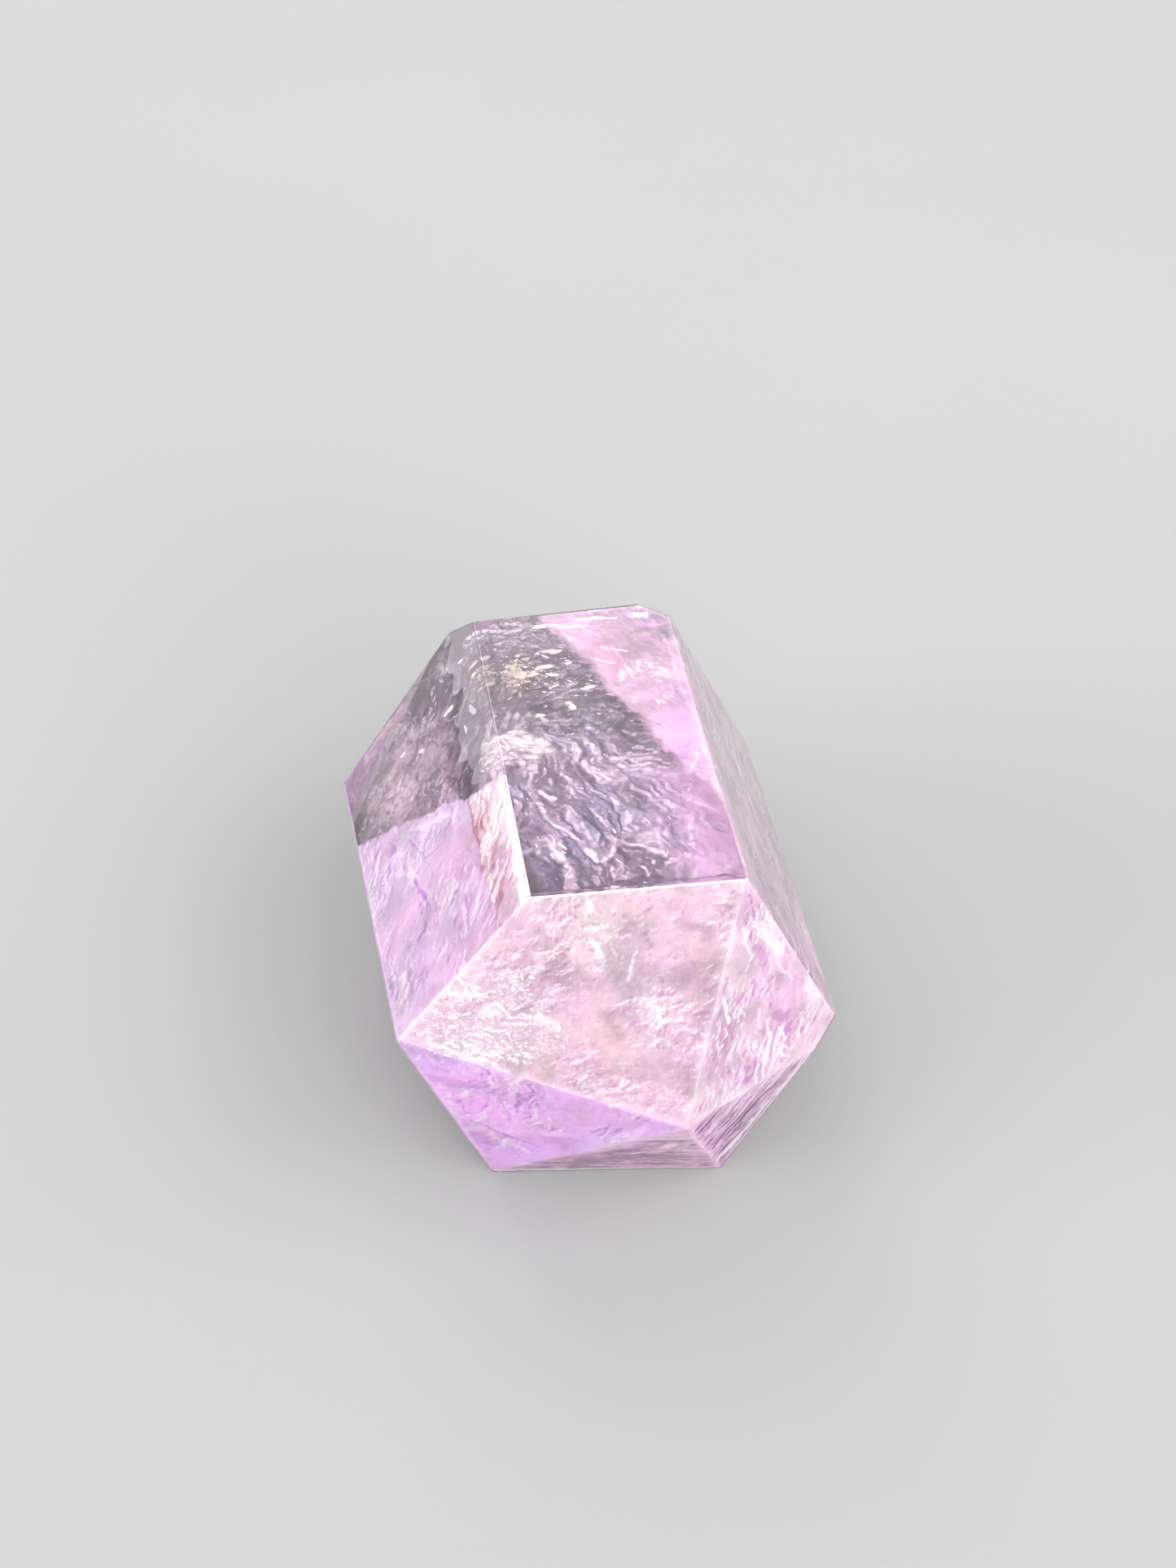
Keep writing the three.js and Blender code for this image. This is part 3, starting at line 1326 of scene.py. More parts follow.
    def right_marks(self) -> tuple[Mark, ...]:
        """Lists the white strokes under the blunt end's right face.

        Returns:
            The marks.
        """
        return (
            Mark((10.1, -22.1, 16.3), (9.8, -22.0, 11.0), 0.3, frost=1.0, ragged=0.8),
            Mark((8.4, -24.0, 27.0), (11.8, -21.4, 19.0), 0.14, frost=0.9),
            Mark(
                (12.0, -21.0, 18.0), (9.0, -22.8, 13.0), 2.2, dye=0.5, tint=(0.84, 0.54, 0.76), ragged=1.0,
                soft=1.0,
            ),
            Mark((10.9, -21.6, 15.0), (11.3, -21.3, 13.2), 0.17, frost=1.0, ragged=0.3),
            Mark((11.0, -21.4, 12.8), (12.3, -20.6, 11.9), 0.15, frost=1.0, ragged=0.3),
            Mark((11.0, -21.3, 12.1), (12.0, -20.7, 11.3), 0.15, frost=0.9, ragged=0.3),
            Mark((9.1, -23.3, 26.0), (10.7, -22.1, 22.3), 0.4, frost=0.8, ragged=1.0),
            Mark((7.7, -24.2, 26.5), (8.4, -23.6, 23.2), 0.25, frost=0.9),
            Mark((6.3, -24.7, 21.1), (6.7, -24.3, 18.4), 0.2, frost=1.0, ragged=0.4),
            Mark((7.6, -23.8, 19.6), (7.8, -23.6, 18.2), 0.16, frost=0.8, ragged=0.4),
            Mark((9.2, -22.8, 18.0), (9.4, -22.6, 16.1), 0.18, frost=0.9, ragged=0.4),
            Mark((8.6, -23.6, 24.4), (10.0, -22.6, 20.4), 0.5, shade=0.5, ragged=1.3),
            Mark((10.4, -21.8, 16.6), (11.4, -21.2, 15.6), 0.45, shade=0.6, ragged=1.0),
            Mark((13.1, -20.5, 18.6), (14.2, -19.4, 13.6), 0.5, frost=0.6, ragged=0.8),
        )

    def low_marks(self) -> tuple[Mark, ...]:
        """Lists the pale rim, a painted highlight along the bottom edge, and thin lines under the blunt end's
        lowest face.

        Returns:
            The marks.
        """
        return (
            Mark(
                (-9.5, -17.6, 1.4), (3.0, -21.0, 4.0), 2.6, dye=0.9, tint=(0.50, 0.33, 0.52), ragged=0.8,
                soft=1.0,
            ),
            # Painted highlight: the pale rim where light catches the bottom edge.
            Mark((-9.5, -17.2, 0.6), (8.0, -19.7, 0.5), 0.34, frost=1.0, ragged=0.2),
            Mark((-5.5, -18.9, 2.3), (2.6, -21.2, 3.9), 0.16, shade=0.8),
            Mark((-2.0, -20.2, 3.4), (4.0, -22.0, 5.2), 0.14, shade=0.7),
            Mark((-3.0, -20.6, 4.2), (3.0, -23.4, 7.4), 0.7, shade=0.35, ragged=0.8),
        )

    def low_right_marks(self) -> tuple[Mark, ...]:
        """Lists the white streaks under the blunt end's lower right face.

        Returns:
            The marks.
        """
        return (
            Mark((7.2, -20.5, 2.2), (13.2, -19.2, 8.8), 0.55, frost=1.0, ragged=0.3),
            Mark((6.2, -22.4, 5.4), (12.2, -20.2, 9.6), 0.5, shade=0.5, ragged=0.6),
            Mark((8.0, -20.1, 2.5), (11.2, -19.6, 6.6), 0.16, shade=0.9, ragged=0.4),
        )


@dataclass
class SideZones(Sealed):
    """The cloudy growth zones under the six long faces, with a painted shadow line at the top edge and
    painted shade over the resting face.
    """

    def parts(self) -> list[Veil]:
        """Lists the long faces' zones, the top edge's dark line, which is a painted shadow, and the painted
        shade at the bottom.

        Returns:
            The pieces, in the order in which they are made.
        """
        lilac = VeilFinish(
            "lilac_zone", milk=(0.84, 0.59, 0.80), other_milk=(0.79, 0.66, 0.83), pale_and_highlight=(1.0, 0.93, 1.0),
            dark_and_shade=(0.56, 0.28, 0.68), gloss=0.05, through=0.3,
        )
        rose = VeilFinish(
            "rose_zone", milk=(0.86, 0.65, 0.79), other_milk=(0.86, 0.71, 0.76), pale_and_highlight=(1.0, 0.98, 0.99),
            dark_and_shade=(0.66, 0.34, 0.62), gloss=0.08, through=0.25,
        )
        mauve = VeilFinish(
            "mauve_zone", milk=(0.64, 0.36, 0.53), other_milk=(0.68, 0.50, 0.57), pale_and_highlight=(1.0, 0.93, 0.93),
            dark_and_shade=(0.22, 0.07, 0.17), gloss=0.08, through=0.3,
        )
        cream = VeilFinish(
            "cream_zone", milk=(0.86, 0.72, 0.76), other_milk=(0.86, 0.76, 0.72), pale_and_highlight=(1.0, 0.98, 0.96),
            dark_and_shade=(0.50, 0.16, 0.24), gloss=0.1, through=0.3,
        )
        orchid = VeilFinish(
            "orchid_zone", milk=(0.88, 0.50, 0.84), other_milk=(0.82, 0.56, 0.70), pale_and_highlight=(1.0, 0.94, 0.98),
            dark_and_shade=(0.66, 0.34, 0.62), gloss=0.05, through=0.3,
        )
        # Painted shadow: the dark colours of the thin line along the top face's front edge.
        painted_edge_shadow = VeilFinish(
            "edge_shadow", milk=(0.30, 0.18, 0.28), other_milk=(0.26, 0.18, 0.28), dark_and_shade=(0.12, 0.05, 0.12),
            gloss=0.05, through=0.3,
        )
        # Painted shade: a dark see-through tint that darkens the floor seen through the resting face.
        painted_shade = VeilFinish(
            "painted_shade_zone", milk=(0.50, 0.42, 0.48), other_milk=(0.40, 0.36, 0.42), dark_and_shade=(0.12, 0.08, 0.13),
            glass=(0.74, 0.68, 0.72),
        )
        return [
            Zone(
                "side_zone", mauve, Face.RIGHT, (12, 0, 20), self.skin, (0, 1, 0), 54, 24, milk=0.85,
                lines=0.85, relief=0.3, height=0.3, gap=1.5, stretch=6.0, cloud=0.3, threads=0.5,
                marks=self.side_marks(), step=self.medium, seed=26,
            ),
            Zone(
                "upper_left_zone", lilac, Face.UPPER_LEFT, (-11, -14, 25), self.skin, (0.1, 1, 0.5), 30, 30,
                milk=0.85, lines=0.9, relief=0.32, height=0.4, stretch=2.4, cloud=0.2, thin=0.06,
                cuts=((1, -0.15, 7.3),), cut_width=0.5, marks=self.upper_left_marks(), seed=27,
            ),
            Zone(
                "cream_zone", cream, Face.UPPER_LEFT, (-11, -14, 25), 0.6 * self.skin, (0.1, 1, 0.5), 30,
                30, milk=0.8, lines=1.0, relief=0.42, height=0.18, gap=1.7, stretch=4.0, kink=1.0,
                patchy=-0.1, cloud=0.3, cuts=((1, 0, 6.5), (-0.5, 1, -4.45)), cut_width=0.3, cut_ragged=1.2,
                marks=self.cream_marks(), seed=37,
            ),
            Zone(
                "lower_left_zone", lilac, Face.LOWER_LEFT, (-14, 0, 10), self.skin, (0, 1, 0), 60, 30,
                milk=0.88, lines=0.9, relief=0.3, height=0.4, gap=2.0, cloud=0.2, step=self.plain, seed=38,
            ),
            Zone(
                "lower_right_zone", rose, Face.LOWER_RIGHT, (12, 0, 6), self.skin, (0, 1, 0), 60, 30,
                milk=0.85, lines=0.9, relief=0.3, height=0.4, gap=1.8, stretch=4.0, cloud=0.2,
                step=self.plain, seed=39,
            ),
            Zone(
                "top_zone", orchid, Face.TOP, (5, -6, 31), self.skin, (0.31, -0.95, 0), 46, 24, milk=0.85,
                lines=0.85, relief=0.2, height=0.5, gap=2.0, stretch=1.8, patchy=0.2, cloud=0.25,
                threads=0.6, cuts=((0, -1, 0.8),), marks=self.top_marks(), seed=28,
            ),
            Veil(
                "top_low_zone", orchid, Face.TOP, (5, -16, 31), 1.4, (0, -1, 0), 22, 20, milk=0.5,
                lines=0.7, relief=0.25, height=0.5, gap=1.8, stretch=2.0, patchy=0.1,
                cuts=((0, -1, 2.2), (-1, 0, 7.0)), cut_width=3.5, seed=35,
            ),
            # Painted shadow: a thin dark line along the top face's front edge.
            Veil(
                "edge_shadow", painted_edge_shadow, Face.TOP, (0, -24, 31), 0.22, (1, 0, 0), 18, 3, milk=0.0, lines=1.0,
                relief=0.05, height=0.2, patchy=1.0, shards=0.0, threads=0.0, marks=self.edge_marks(),
                step=self.fine, clear=0.1, seed=46,
            ),
            # Painted shade: a dark see-through sheet over the resting face that darkens the clear windows.
            Zone(
                "resting_smoke", painted_shade, Face.REST, (0, 0, 0), 1.2, (0, 1, 0), 60, 40, milk=0.12, lines=0.5,
                relief=0.3, gap=3.0, stretch=2.0, patchy=0.1, threads=0.0, edge_highlight=0.0, step=self.coarse,
                seed=29,
            ),
        ]

    def edge_marks(self) -> tuple[Mark, ...]:
        """Lists the painted shadow: a thin dark line along the top face's front edge.

        Returns:
            The marks.
        """
        return (
            Mark((-5.4, -24.05, 31.0), (7.6, -24.2, 31.0), 0.16, shade=1.0, haze=0.7, ragged=0.35),
        )

    def top_marks(self) -> tuple[Mark, ...]:
        """Lists the duller places in the cloudy part under the top face.

        Returns:
            The marks.
        """
        return (
            Mark(
                (4.5, 9.0, 31.0), (6.0, 1.0, 31.0), 4.4, dye=0.9, tint=(0.58, 0.41, 0.48), ragged=1.0,
                soft=1.0,
            ),
            Mark(
                (1.6, 8.0, 31.0), (4.4, 1.4, 31.0), 1.0, dye=0.7, tint=(0.80, 0.46, 0.56), ragged=1.0,
                soft=1.0,
            ),
            Mark(
                (8.2, 9.4, 31.0), (9.6, 6.0, 31.0), 2.6, dye=0.9, tint=(0.32, 0.24, 0.30), ragged=0.9,
                soft=1.0,
            ),
            Mark((2.0, 9.2, 31.0), (4.9, 9.2, 31.0), 0.26, frost=1.0),
            Mark((0.0, 8.6, 31.0), (2.6, 8.3, 31.0), 0.2, frost=1.0),
            Mark((6.4, 9.2, 31.0), (7.4, 9.1, 31.0), 0.42, frost=1.0, ragged=0.3),
            Mark((3.4, 10.4, 31.0), (4.0, 10.4, 31.0), 0.3, frost=1.0, ragged=0.6),
            Mark((3.2, 5.0, 31.0), (5.2, 4.2, 31.0), 0.16, frost=0.9, ragged=0.9),
            Mark((2.6, 3.4, 31.0), (4.0, 2.6, 31.0), 0.14, frost=0.9, ragged=0.9),
            Mark(
                (6.0, -21.5, 31.0), (7.4, -13.0, 31.0), 3.2, dye=0.8, tint=(0.80, 0.57, 0.70), ragged=1.0,
                soft=1.0,
            ),
            Mark((8.3, 6.0, 31.0), (8.2, -22.0, 31.0), 0.2, frost=0.4, ragged=0.6),
        )

    def side_marks(self) -> tuple[Mark, ...]:
        """Lists the long mauve and cream bands under the right face; the darker mauve bands are partly colour
        zoning and partly painted shade that darkens the face.

        Returns:
            The marks.
        """
        return (
            # Partly painted shade: these dark mauve bands darken the face as well as giving its colour
            # zoning.
            Mark(
                (9.2, 11.0, 29.4), (8.9, -10.4, 28.4), 1.7, shade=0.3, dye=0.9, tint=(0.52, 0.27, 0.42),
                ragged=1.2, soft=1.2,
            ),
            Mark(
                (8.9, -10.4, 28.4), (9.8, -22.7, 26.0), 1.6, shade=0.3, dye=0.9, tint=(0.54, 0.28, 0.44),
                ragged=1.2, soft=1.2,
            ),
            Mark((9.6, -22.7, 26.3), (12.4, -20.8, 20.0), 0.7, shade=0.4, ragged=1.4, soft=1.0),
            Mark((10.0, 6.0, 27.2), (10.9, -7.0, 24.6), 0.4, frost=0.8, ragged=1.6),
            Mark((10.9, -7.0, 24.8), (11.0, -15.0, 24.4), 0.3, frost=0.7, ragged=1.6),
            Mark((11.4, 8.0, 24.4), (12.0, -4.0, 22.2), 1.0, shade=0.35, ragged=1.5, soft=1.0),
            Mark((12.6, 6.0, 21.4), (13.0, -8.0, 19.4), 0.4, frost=0.7, ragged=1.7),
            Mark(
                (14.4, 6.0, 16.6), (14.6, -12.0, 15.6), 1.4, dye=0.8, tint=(0.76, 0.42, 0.66), ragged=1.2,
                soft=1.2,
            ),
            Mark(
                (11.8, -4.0, 22.6), (12.4, -18.0, 20.4), 1.4, dye=0.7, tint=(0.80, 0.62, 0.66), ragged=1.2,
                soft=1.2,
            ),
        )

    def upper_left_marks(self) -> tuple[Mark, ...]:
        """Lists the spots and curling lines in the lilac part under the upper left face.

        Returns:
            The marks.
        """
        return (
            Mark((-12.9, -10.0, 23.0), (-12.4, -11.6, 23.5), 0.45, frost=0.8, ragged=0.8),
            Mark((-12.5, -11.4, 23.5), (-12.2, -14.2, 23.8), 0.22, shade=0.9, ragged=0.8),
            Mark((-11.6, -10.1, 24.4), (-12.6, -6.6, 23.2), 0.12, shade=0.7),
            Mark((-10.2, -10.4, 26.0), (-11.6, -10.1, 24.4), 0.10, shade=0.6),
            Mark((-12.4, -5.4, 23.4), (-9.8, -8.3, 26.3), 0.4, frost=0.8, ragged=1.2),
            Mark((-13.6, -6.6, 22.2), (-13.4, -9.4, 22.2), 0.5, frost=0.6, ragged=1.2),
            Mark((-9.9, -18.8, 26.5), (-10.2, -21.6, 26.1), 0.22, frost=0.8, ragged=0.8),
            Mark((-9.5, -18.0, 26.9), (-9.9, -21.6, 26.4), 0.12, shade=0.6),
            Mark((-13.4, -23.0, 22.4), (-13.0, -16.0, 23.0), 1.6, shade=0.2, ragged=1.0),
            Mark(
                (-7.6, -16.0, 28.9), (-7.4, -24.0, 29.2), 2.2, dye=0.9, tint=(0.62, 0.38, 0.54), ragged=0.7,
                soft=1.0,
            ),
            Mark((-7.0, -17.0, 29.6), (-7.0, -24.0, 29.6), 0.5, shade=0.4, ragged=0.9),
            Mark(
                (-12.0, -17.5, 23.6), (-9.0, -12.5, 27.4), 2.2, dye=0.5, tint=(0.82, 0.50, 0.66),
                ragged=0.9, soft=1.0,
            ),
        )

    def cream_marks(self) -> tuple[Mark, ...]:
        """Lists the bright edge and red lines of the cream strip under the upper left face.

        Returns:
            The marks.
        """
        return (
            Mark((-5.9, -6.5, 30.5), (-6.3, -24.0, 30.5), 0.28, frost=1.0, ragged=0.3),
            Mark((-8.4, -8.4, 28.2), (-8.4, -17.2, 28.1), 0.2, shade=0.8, ragged=0.6),
            Mark((-7.3, -8.6, 29.3), (-7.3, -14.6, 29.3), 0.14, shade=0.7, ragged=0.9),
            Mark(
                (-7.4, -17.5, 29.2), (-7.2, -24.5, 29.4), 2.2, shade=0.22, dye=0.9, tint=(0.60, 0.37, 0.52),
                ragged=0.8, soft=1.0,
            ),
        )


@dataclass
class PointZones(Sealed):
    """The cloudy growth zones under the pyramid end's faces, and painted shade under two of them."""

    def parts(self) -> list[Veil]:
        """Lists the pyramid end's zones and painted shade.

        Returns:
            The pieces, in the order in which they are made.
        """
        lilac = VeilFinish(
            "pale_lilac_zone", milk=(0.83, 0.57, 0.83), other_milk=(0.77, 0.65, 0.84),
            pale_and_highlight=(1.0, 0.92, 1.0), dark_and_shade=(0.60, 0.32, 0.74), gloss=0.05, through=0.3,
        )
        rose = VeilFinish(
            "pale_rose_zone", milk=(0.84, 0.6, 0.79), other_milk=(0.84, 0.69, 0.74),
            pale_and_highlight=(1.0, 0.97, 0.98), dark_and_shade=(0.66, 0.34, 0.62), gloss=0.05, through=0.3,
        )
        # Painted shade: dark see-through tints that darken the floor seen through the pyramid end's lower
        # faces.
        dark_painted_shade = VeilFinish(
            "dark_painted_shade_zone", milk=(0.40, 0.35, 0.38), other_milk=(0.33, 0.30, 0.34),
            dark_and_shade=(0.12, 0.08, 0.13), glass=(0.36, 0.35, 0.35),
        )
        painted_shade = VeilFinish(
            "point_painted_shade_zone", milk=(0.44, 0.38, 0.42), other_milk=(0.36, 0.33, 0.37),
            dark_and_shade=(0.12, 0.08, 0.13), glass=(0.50, 0.48, 0.49),
        )
        return [
            Zone(
                "point_left_zone", lilac, Face.POINT_LOWER_LEFT, (-10, 16, 12), self.skin, (0, 1, 0.3), 40,
                30, milk=0.4, lines=0.8, relief=0.3, height=0.4, gap=2.0, stretch=2.4, cloud=0.6,
                step=self.plain, seed=40,
            ),
            Zone(
                "point_right_zone", rose, Face.POINT_RIGHT, (10, 16, 20), self.skin, (0, 1, 0.3), 40, 30,
                milk=0.6, lines=0.8, relief=0.3, height=0.4, gap=2.0, stretch=2.4, cloud=0.6,
                step=self.plain, seed=41,
            ),
            # Painted shade: a dark see-through sheet that stands in for the stone's shadow on the floor seen
            # through it.
            Zone(
                "point_right_smoke", dark_painted_shade, Face.POINT_LOWER_RIGHT, (9, 18, 10), 1.2, (1, 0, 0), 50,
                40, milk=0.12, lines=0.5, relief=0.3, gap=3.0, stretch=2.0, patchy=0.1, threads=0.0,
                edge_highlight=0.0, step=self.coarse, seed=42,
            ),
            # Painted shade: a dark see-through sheet that darkens the floor seen through the lowest pyramid
            # face.
            Zone(
                "point_smoke", painted_shade, Face.POINT_LOW, (0, 18, 10), 1.2, (1, 0, 0), 60, 40, milk=0.12,
                lines=0.5, relief=0.3, gap=3.0, stretch=2.0, patchy=0.1, threads=0.0, edge_highlight=0.0,
                step=self.coarse, seed=30,
            ),
        ]


@dataclass
class Cracks(Sealed):
    """The healed cracks inside, the clouds and crumbs beside them, and painted shade at the upper left."""

    def parts(self) -> list[Veil]:
        """Lists the cracks, clouds and crumbs, and a sheet of painted shade.

        Returns:
            The pieces, in the order in which they are made.
        """
        silver = VeilFinish(
            "silver_veil", milk=(0.58, 0.48, 0.58), other_milk=(0.45, 0.46, 0.63), pale_and_highlight=(0.97, 0.88, 0.93),
            dark_and_shade=(0.16, 0.11, 0.19), gloss=0.3,
        )
        flaky = VeilFinish(
            "flaky_veil", milk=(0.56, 0.46, 0.52), other_milk=(0.42, 0.40, 0.42), pale_and_highlight=(0.80, 0.70, 0.75),
            dark_and_shade=(0.14, 0.11, 0.15), gloss=0.25,
        )
        crumbs = VeilFinish(
            "smoky_crumbs", milk=(0.34, 0.27, 0.31), other_milk=(0.27, 0.24, 0.28),
            pale_and_highlight=(0.80, 0.70, 0.74), dark_and_shade=(0.12, 0.09, 0.13),
        )
        cloudy = VeilFinish(
            "left_cloud", milk=(0.80, 0.65, 0.73), other_milk=(0.68, 0.58, 0.63), pale_and_highlight=(1.0, 0.94, 0.95),
            dark_and_shade=(0.30, 0.20, 0.28), gloss=0.15, through=0.4,
        )
        # Painted shade: a dark see-through tint that darkens the clear window at the upper left.
        window_shade_glass = VeilFinish(
            "window_shade_glass", milk=(0.36, 0.30, 0.34), other_milk=(0.30, 0.27, 0.30), pale_and_highlight=(0.85, 0.75, 0.80),
            dark_and_shade=(0.12, 0.09, 0.13), glass=(0.72, 0.69, 0.71),
        )
        peach = VeilFinish(
            "peach_veil", milk=(0.88, 0.74, 0.79), other_milk=(0.88, 0.77, 0.76), pale_and_highlight=(1.0, 0.96, 0.94),
            dark_and_shade=(0.55, 0.25, 0.35), through=0.3,
        )
        return [
            Veil(
                "fan_crack", silver, Face.TOP, (0.5, -13, 26), 5.0, (0.35, -0.94, 0), 24, 18, milk=0.5,
                lines=0.95, dip=8, relief=0.6, gap=3.4, stretch=2.6, fan=4, kink=1.5, patchy=-0.2,
                cloud=0.9, threads=0.7, thread_gap=1.2, marks=self.fan_marks(), step=self.fine,
            ),
            Veil(
                "fine_crack", silver, Face.TOP, (1.5, -12, 26), 7.0, (0.6, -0.8, 0), 22, 16, milk=0.3,
                lines=0.7, dip=-5, relief=0.3, gap=1.3, kink=1.1, cloud=0.9, step=self.medium, seed=36,
            ),
            Veil(
                "violet_crack", silver, Face.TOP, (4.5, -6, 26), 4.0, (0.8, -0.6, 0), 9, 10, milk=0.45,
                lines=0.7, dip=-10, relief=0.4, gap=1.5, stretch=2.0, kink=1.4, patchy=-0.2,
                step=self.medium, seed=17,
            ),
            Veil(
                "upper_crack", flaky, Face.TOP, (-0.5, 3, 27), 4.0, (1, 0.1, 0), 16, 17, milk=0.5,
                lines=0.75, bend=0.5, relief=0.45, gap=1.1, stretch=1.7, kink=1.5, patchy=-0.2, cloud=1.0,
                shards=1.2, marks=self.upper_marks(), step=self.medium, seed=2,
            ),
            Veil(
                "corner_crumbs", crumbs, Face.TOP, (-3.4, 8.2, 30), 1.3, (1, 0.1, 0), 8, 5.5, milk=0.7,
                lines=0.75, relief=0.3, gap=0.9, stretch=1.5, patchy=-0.3, cloud=0.8, shards=1.2,
                threads=0.6, step=self.fine, seed=45,
            ),
            # Painted shade: a dark see-through sheet that darkens what shows through the clear window.
            Veil(
                "window_smoke", window_shade_glass, Face.UPPER_LEFT, (-7.2, 1.5, 29.6), 1.0, (0.1, 1, 0.5), 15, 5.5,
                milk=0.1, lines=0.4, relief=0.2, gap=3.0, stretch=2.0, shards=0.2, threads=0.3,
                step=self.plain, seed=47,
            ),
            Veil(
                "left_cloud", cloudy, Face.UPPER_LEFT, (-12.6, 1.0, 23.4), 0.7, (0.2, -1, 0.2), 24, 11.5,
                milk=0.36, gap=1.9, stretch=1.3, patchy=0.05, cloud=1.0, threads=0.45, thin=0.1,
                step=self.fine, seed=49,
            ),
            Veil(
                "left_crack", flaky, Face.UPPER_LEFT, (-9.5, 2, 26.5), 2.2, (0.1, 1, 0.5), 20, 19, milk=0.4,
                lines=0.7, relief=0.34, gap=2.4, stretch=2.0, patchy=-0.15, cloud=0.8, threads=0.5,
                marks=self.left_crack_marks(), step=self.medium, seed=3,
            ),
            Veil(
                "cream_cloud", peach, Face.TOP, (-4.9, -6.6, 30), 1.6, (1, 0, 0), 6.5, 5.0, milk=0.5,
                lines=0.7, relief=0.25, gap=1.0, stretch=1.6, patchy=-0.3, cloud=1.0, step=self.fine,
                seed=4,
            ),
            Veil(
                "low_crack", flaky, Face.REST, (0, -2, 0), 7.0, (0.8, 0.6, 0), 22, 26, milk=0.12, bend=1.5,
                seed=8,
            ),
            Veil(
                "far_crack", flaky, Face.POINT_TOP, (0, 14, 20), 5.0, (0.9, 0.3, 0), 16, 16, bend=1.0,
                seed=9,
            ),
        ]

    def fan_marks(self) -> tuple[Mark, ...]:
        """Lists the long ridges and the clear gaps of the fan-shaped crack, with two dark patches of painted
        shade where the gaps show dark.

        Returns:
            The marks.
        """
        return (
            Mark((-3.7, -10.0, 26.2), (-3.1, -10.9, 26.2), 0.3, frost=1.0, haze=0.5, ragged=0.3),
            Mark((-4.3, -11.5, 26.2), (-0.8, -18.3, 26.2), 0.42, shade=0.9, haze=0.3),
            Mark((-4.4, -11.3, 26.2), (-0.7, -18.1, 26.2), 0.26, frost=0.9, haze=0.4),
            Mark((-0.6, -18.6, 26.2), (0.7, -16.1, 26.2), 0.36, shade=0.9, haze=0.3),
            Mark((-0.4, -18.3, 26.2), (0.8, -15.9, 26.2), 0.26, frost=0.8, haze=0.4),
            Mark((0.8, -15.9, 26.2), (3.6, -17.6, 26.2), 0.26, frost=0.8, haze=0.4, ragged=0.6),
            Mark((0.9, -16.5, 26.2), (3.6, -18.2, 26.2), 0.2, shade=0.9, haze=0.3),
            Mark((-3.8, -15.2, 26.2), (-2.5, -21.4, 26.2), 0.5, frost=0.75, haze=0.5, ragged=0.4),
            Mark((-3.1, -15.4, 26.2), (-1.4, -20.6, 26.2), 0.2, shade=0.9, haze=0.3),
            # Painted shade: two dark patches that stand in for the darkness seen through the clear gaps.
            Mark((-4.0, -18.2, 26.3), (-4.0, -20.6, 26.3), 0.95, shade=1.0, haze=0.4),
            Mark((0.7, -20.6, 26.2), (2.6, -20.6, 26.2), 0.8, shade=1.0, haze=0.4, ragged=0.6),
            Mark((-0.8, -12.4, 26.2), (0.4, -14.4, 26.2), 0.2, frost=0.8, haze=0.3, ragged=0.6),
        )

    def upper_marks(self) -> tuple[Mark, ...]:
        """Lists the white dashes and dark gaps of the upper crack.

        Returns:
            The marks.
        """
        return (
            Mark(
                (-4.5, 8.5, 26.1), (-3.0, 2.0, 26.1), 2.6, shade=0.3, dye=1.0, tint=(0.32, 0.27, 0.29),
                ragged=0.7, soft=1.0,
            ),
            Mark(
                (-3.0, 2.0, 26.1), (-0.5, -2.5, 26.1), 2.4, shade=0.3, dye=1.0, tint=(0.32, 0.27, 0.29),
                ragged=0.7, soft=1.0,
            ),
            Mark((-2.4, -0.9, 26.1), (-2.0, -2.2, 26.1), 0.2, frost=1.0, haze=0.5, ragged=0.3),
            Mark((-2.3, -2.0, 26.1), (0.4, -2.2, 26.1), 0.15, frost=1.0, haze=0.5, ragged=0.4),
            Mark((-0.9, 2.0, 26.1), (2.8, 1.7, 26.1), 0.26, frost=1.0, haze=0.5, ragged=0.8),
            Mark((1.9, 4.6, 26.1), (3.6, 4.4, 26.1), 0.5, shade=0.9, haze=0.3, ragged=0.9),
            Mark((-4.2, -0.2, 26.1), (-1.2, 0.4, 26.1), 0.6, shade=0.9, haze=0.3, ragged=0.9),
            Mark((3.4, 0.0, 26.1), (4.8, -0.6, 26.1), 0.6, shade=0.9, haze=0.3, ragged=0.9),
        )

    def left_crack_marks(self) -> tuple[Mark, ...]:
        """Lists the crack line and white flakes beside the clear window at the upper left.

        Returns:
            The marks.
        """
        return (
            Mark(
                (-13.2, 6.5, 22.8), (-12.6, 0.0, 23.0), 2.4, haze=0.6, dye=0.9, tint=(0.90, 0.70, 0.80),
                ragged=1.4, soft=1.0,
            ),
            Mark(
                (-9.6, -1.0, 26.5), (-10.2, -4.5, 26.0), 1.8, haze=0.55, dye=0.9, tint=(0.86, 0.66, 0.78),
                ragged=1.4, soft=1.0,
            ),
            Mark((-6.2, 5.8, 29.6), (-8.6, 0.4, 27.0), 0.16, frost=1.0, haze=0.5, ragged=0.8),
            Mark((-8.8, 2.6, 26.9), (-6.2, -1.4, 29.0), 0.08, frost=0.7, haze=0.3, ragged=0.8),
            Mark((-14.0, 3.0, 20.8), (-12.4, 1.2, 22.4), 0.22, frost=1.0, haze=0.5, ragged=0.6),
            Mark((-15.0, 1.4, 20.0), (-14.2, 0.2, 20.8), 0.35, frost=1.0, haze=0.5, ragged=0.6),
            Mark((-10.6, 2.6, 25.0), (-10.0, 1.2, 25.6), 0.5, frost=0.9, haze=0.4, ragged=0.9),
        )


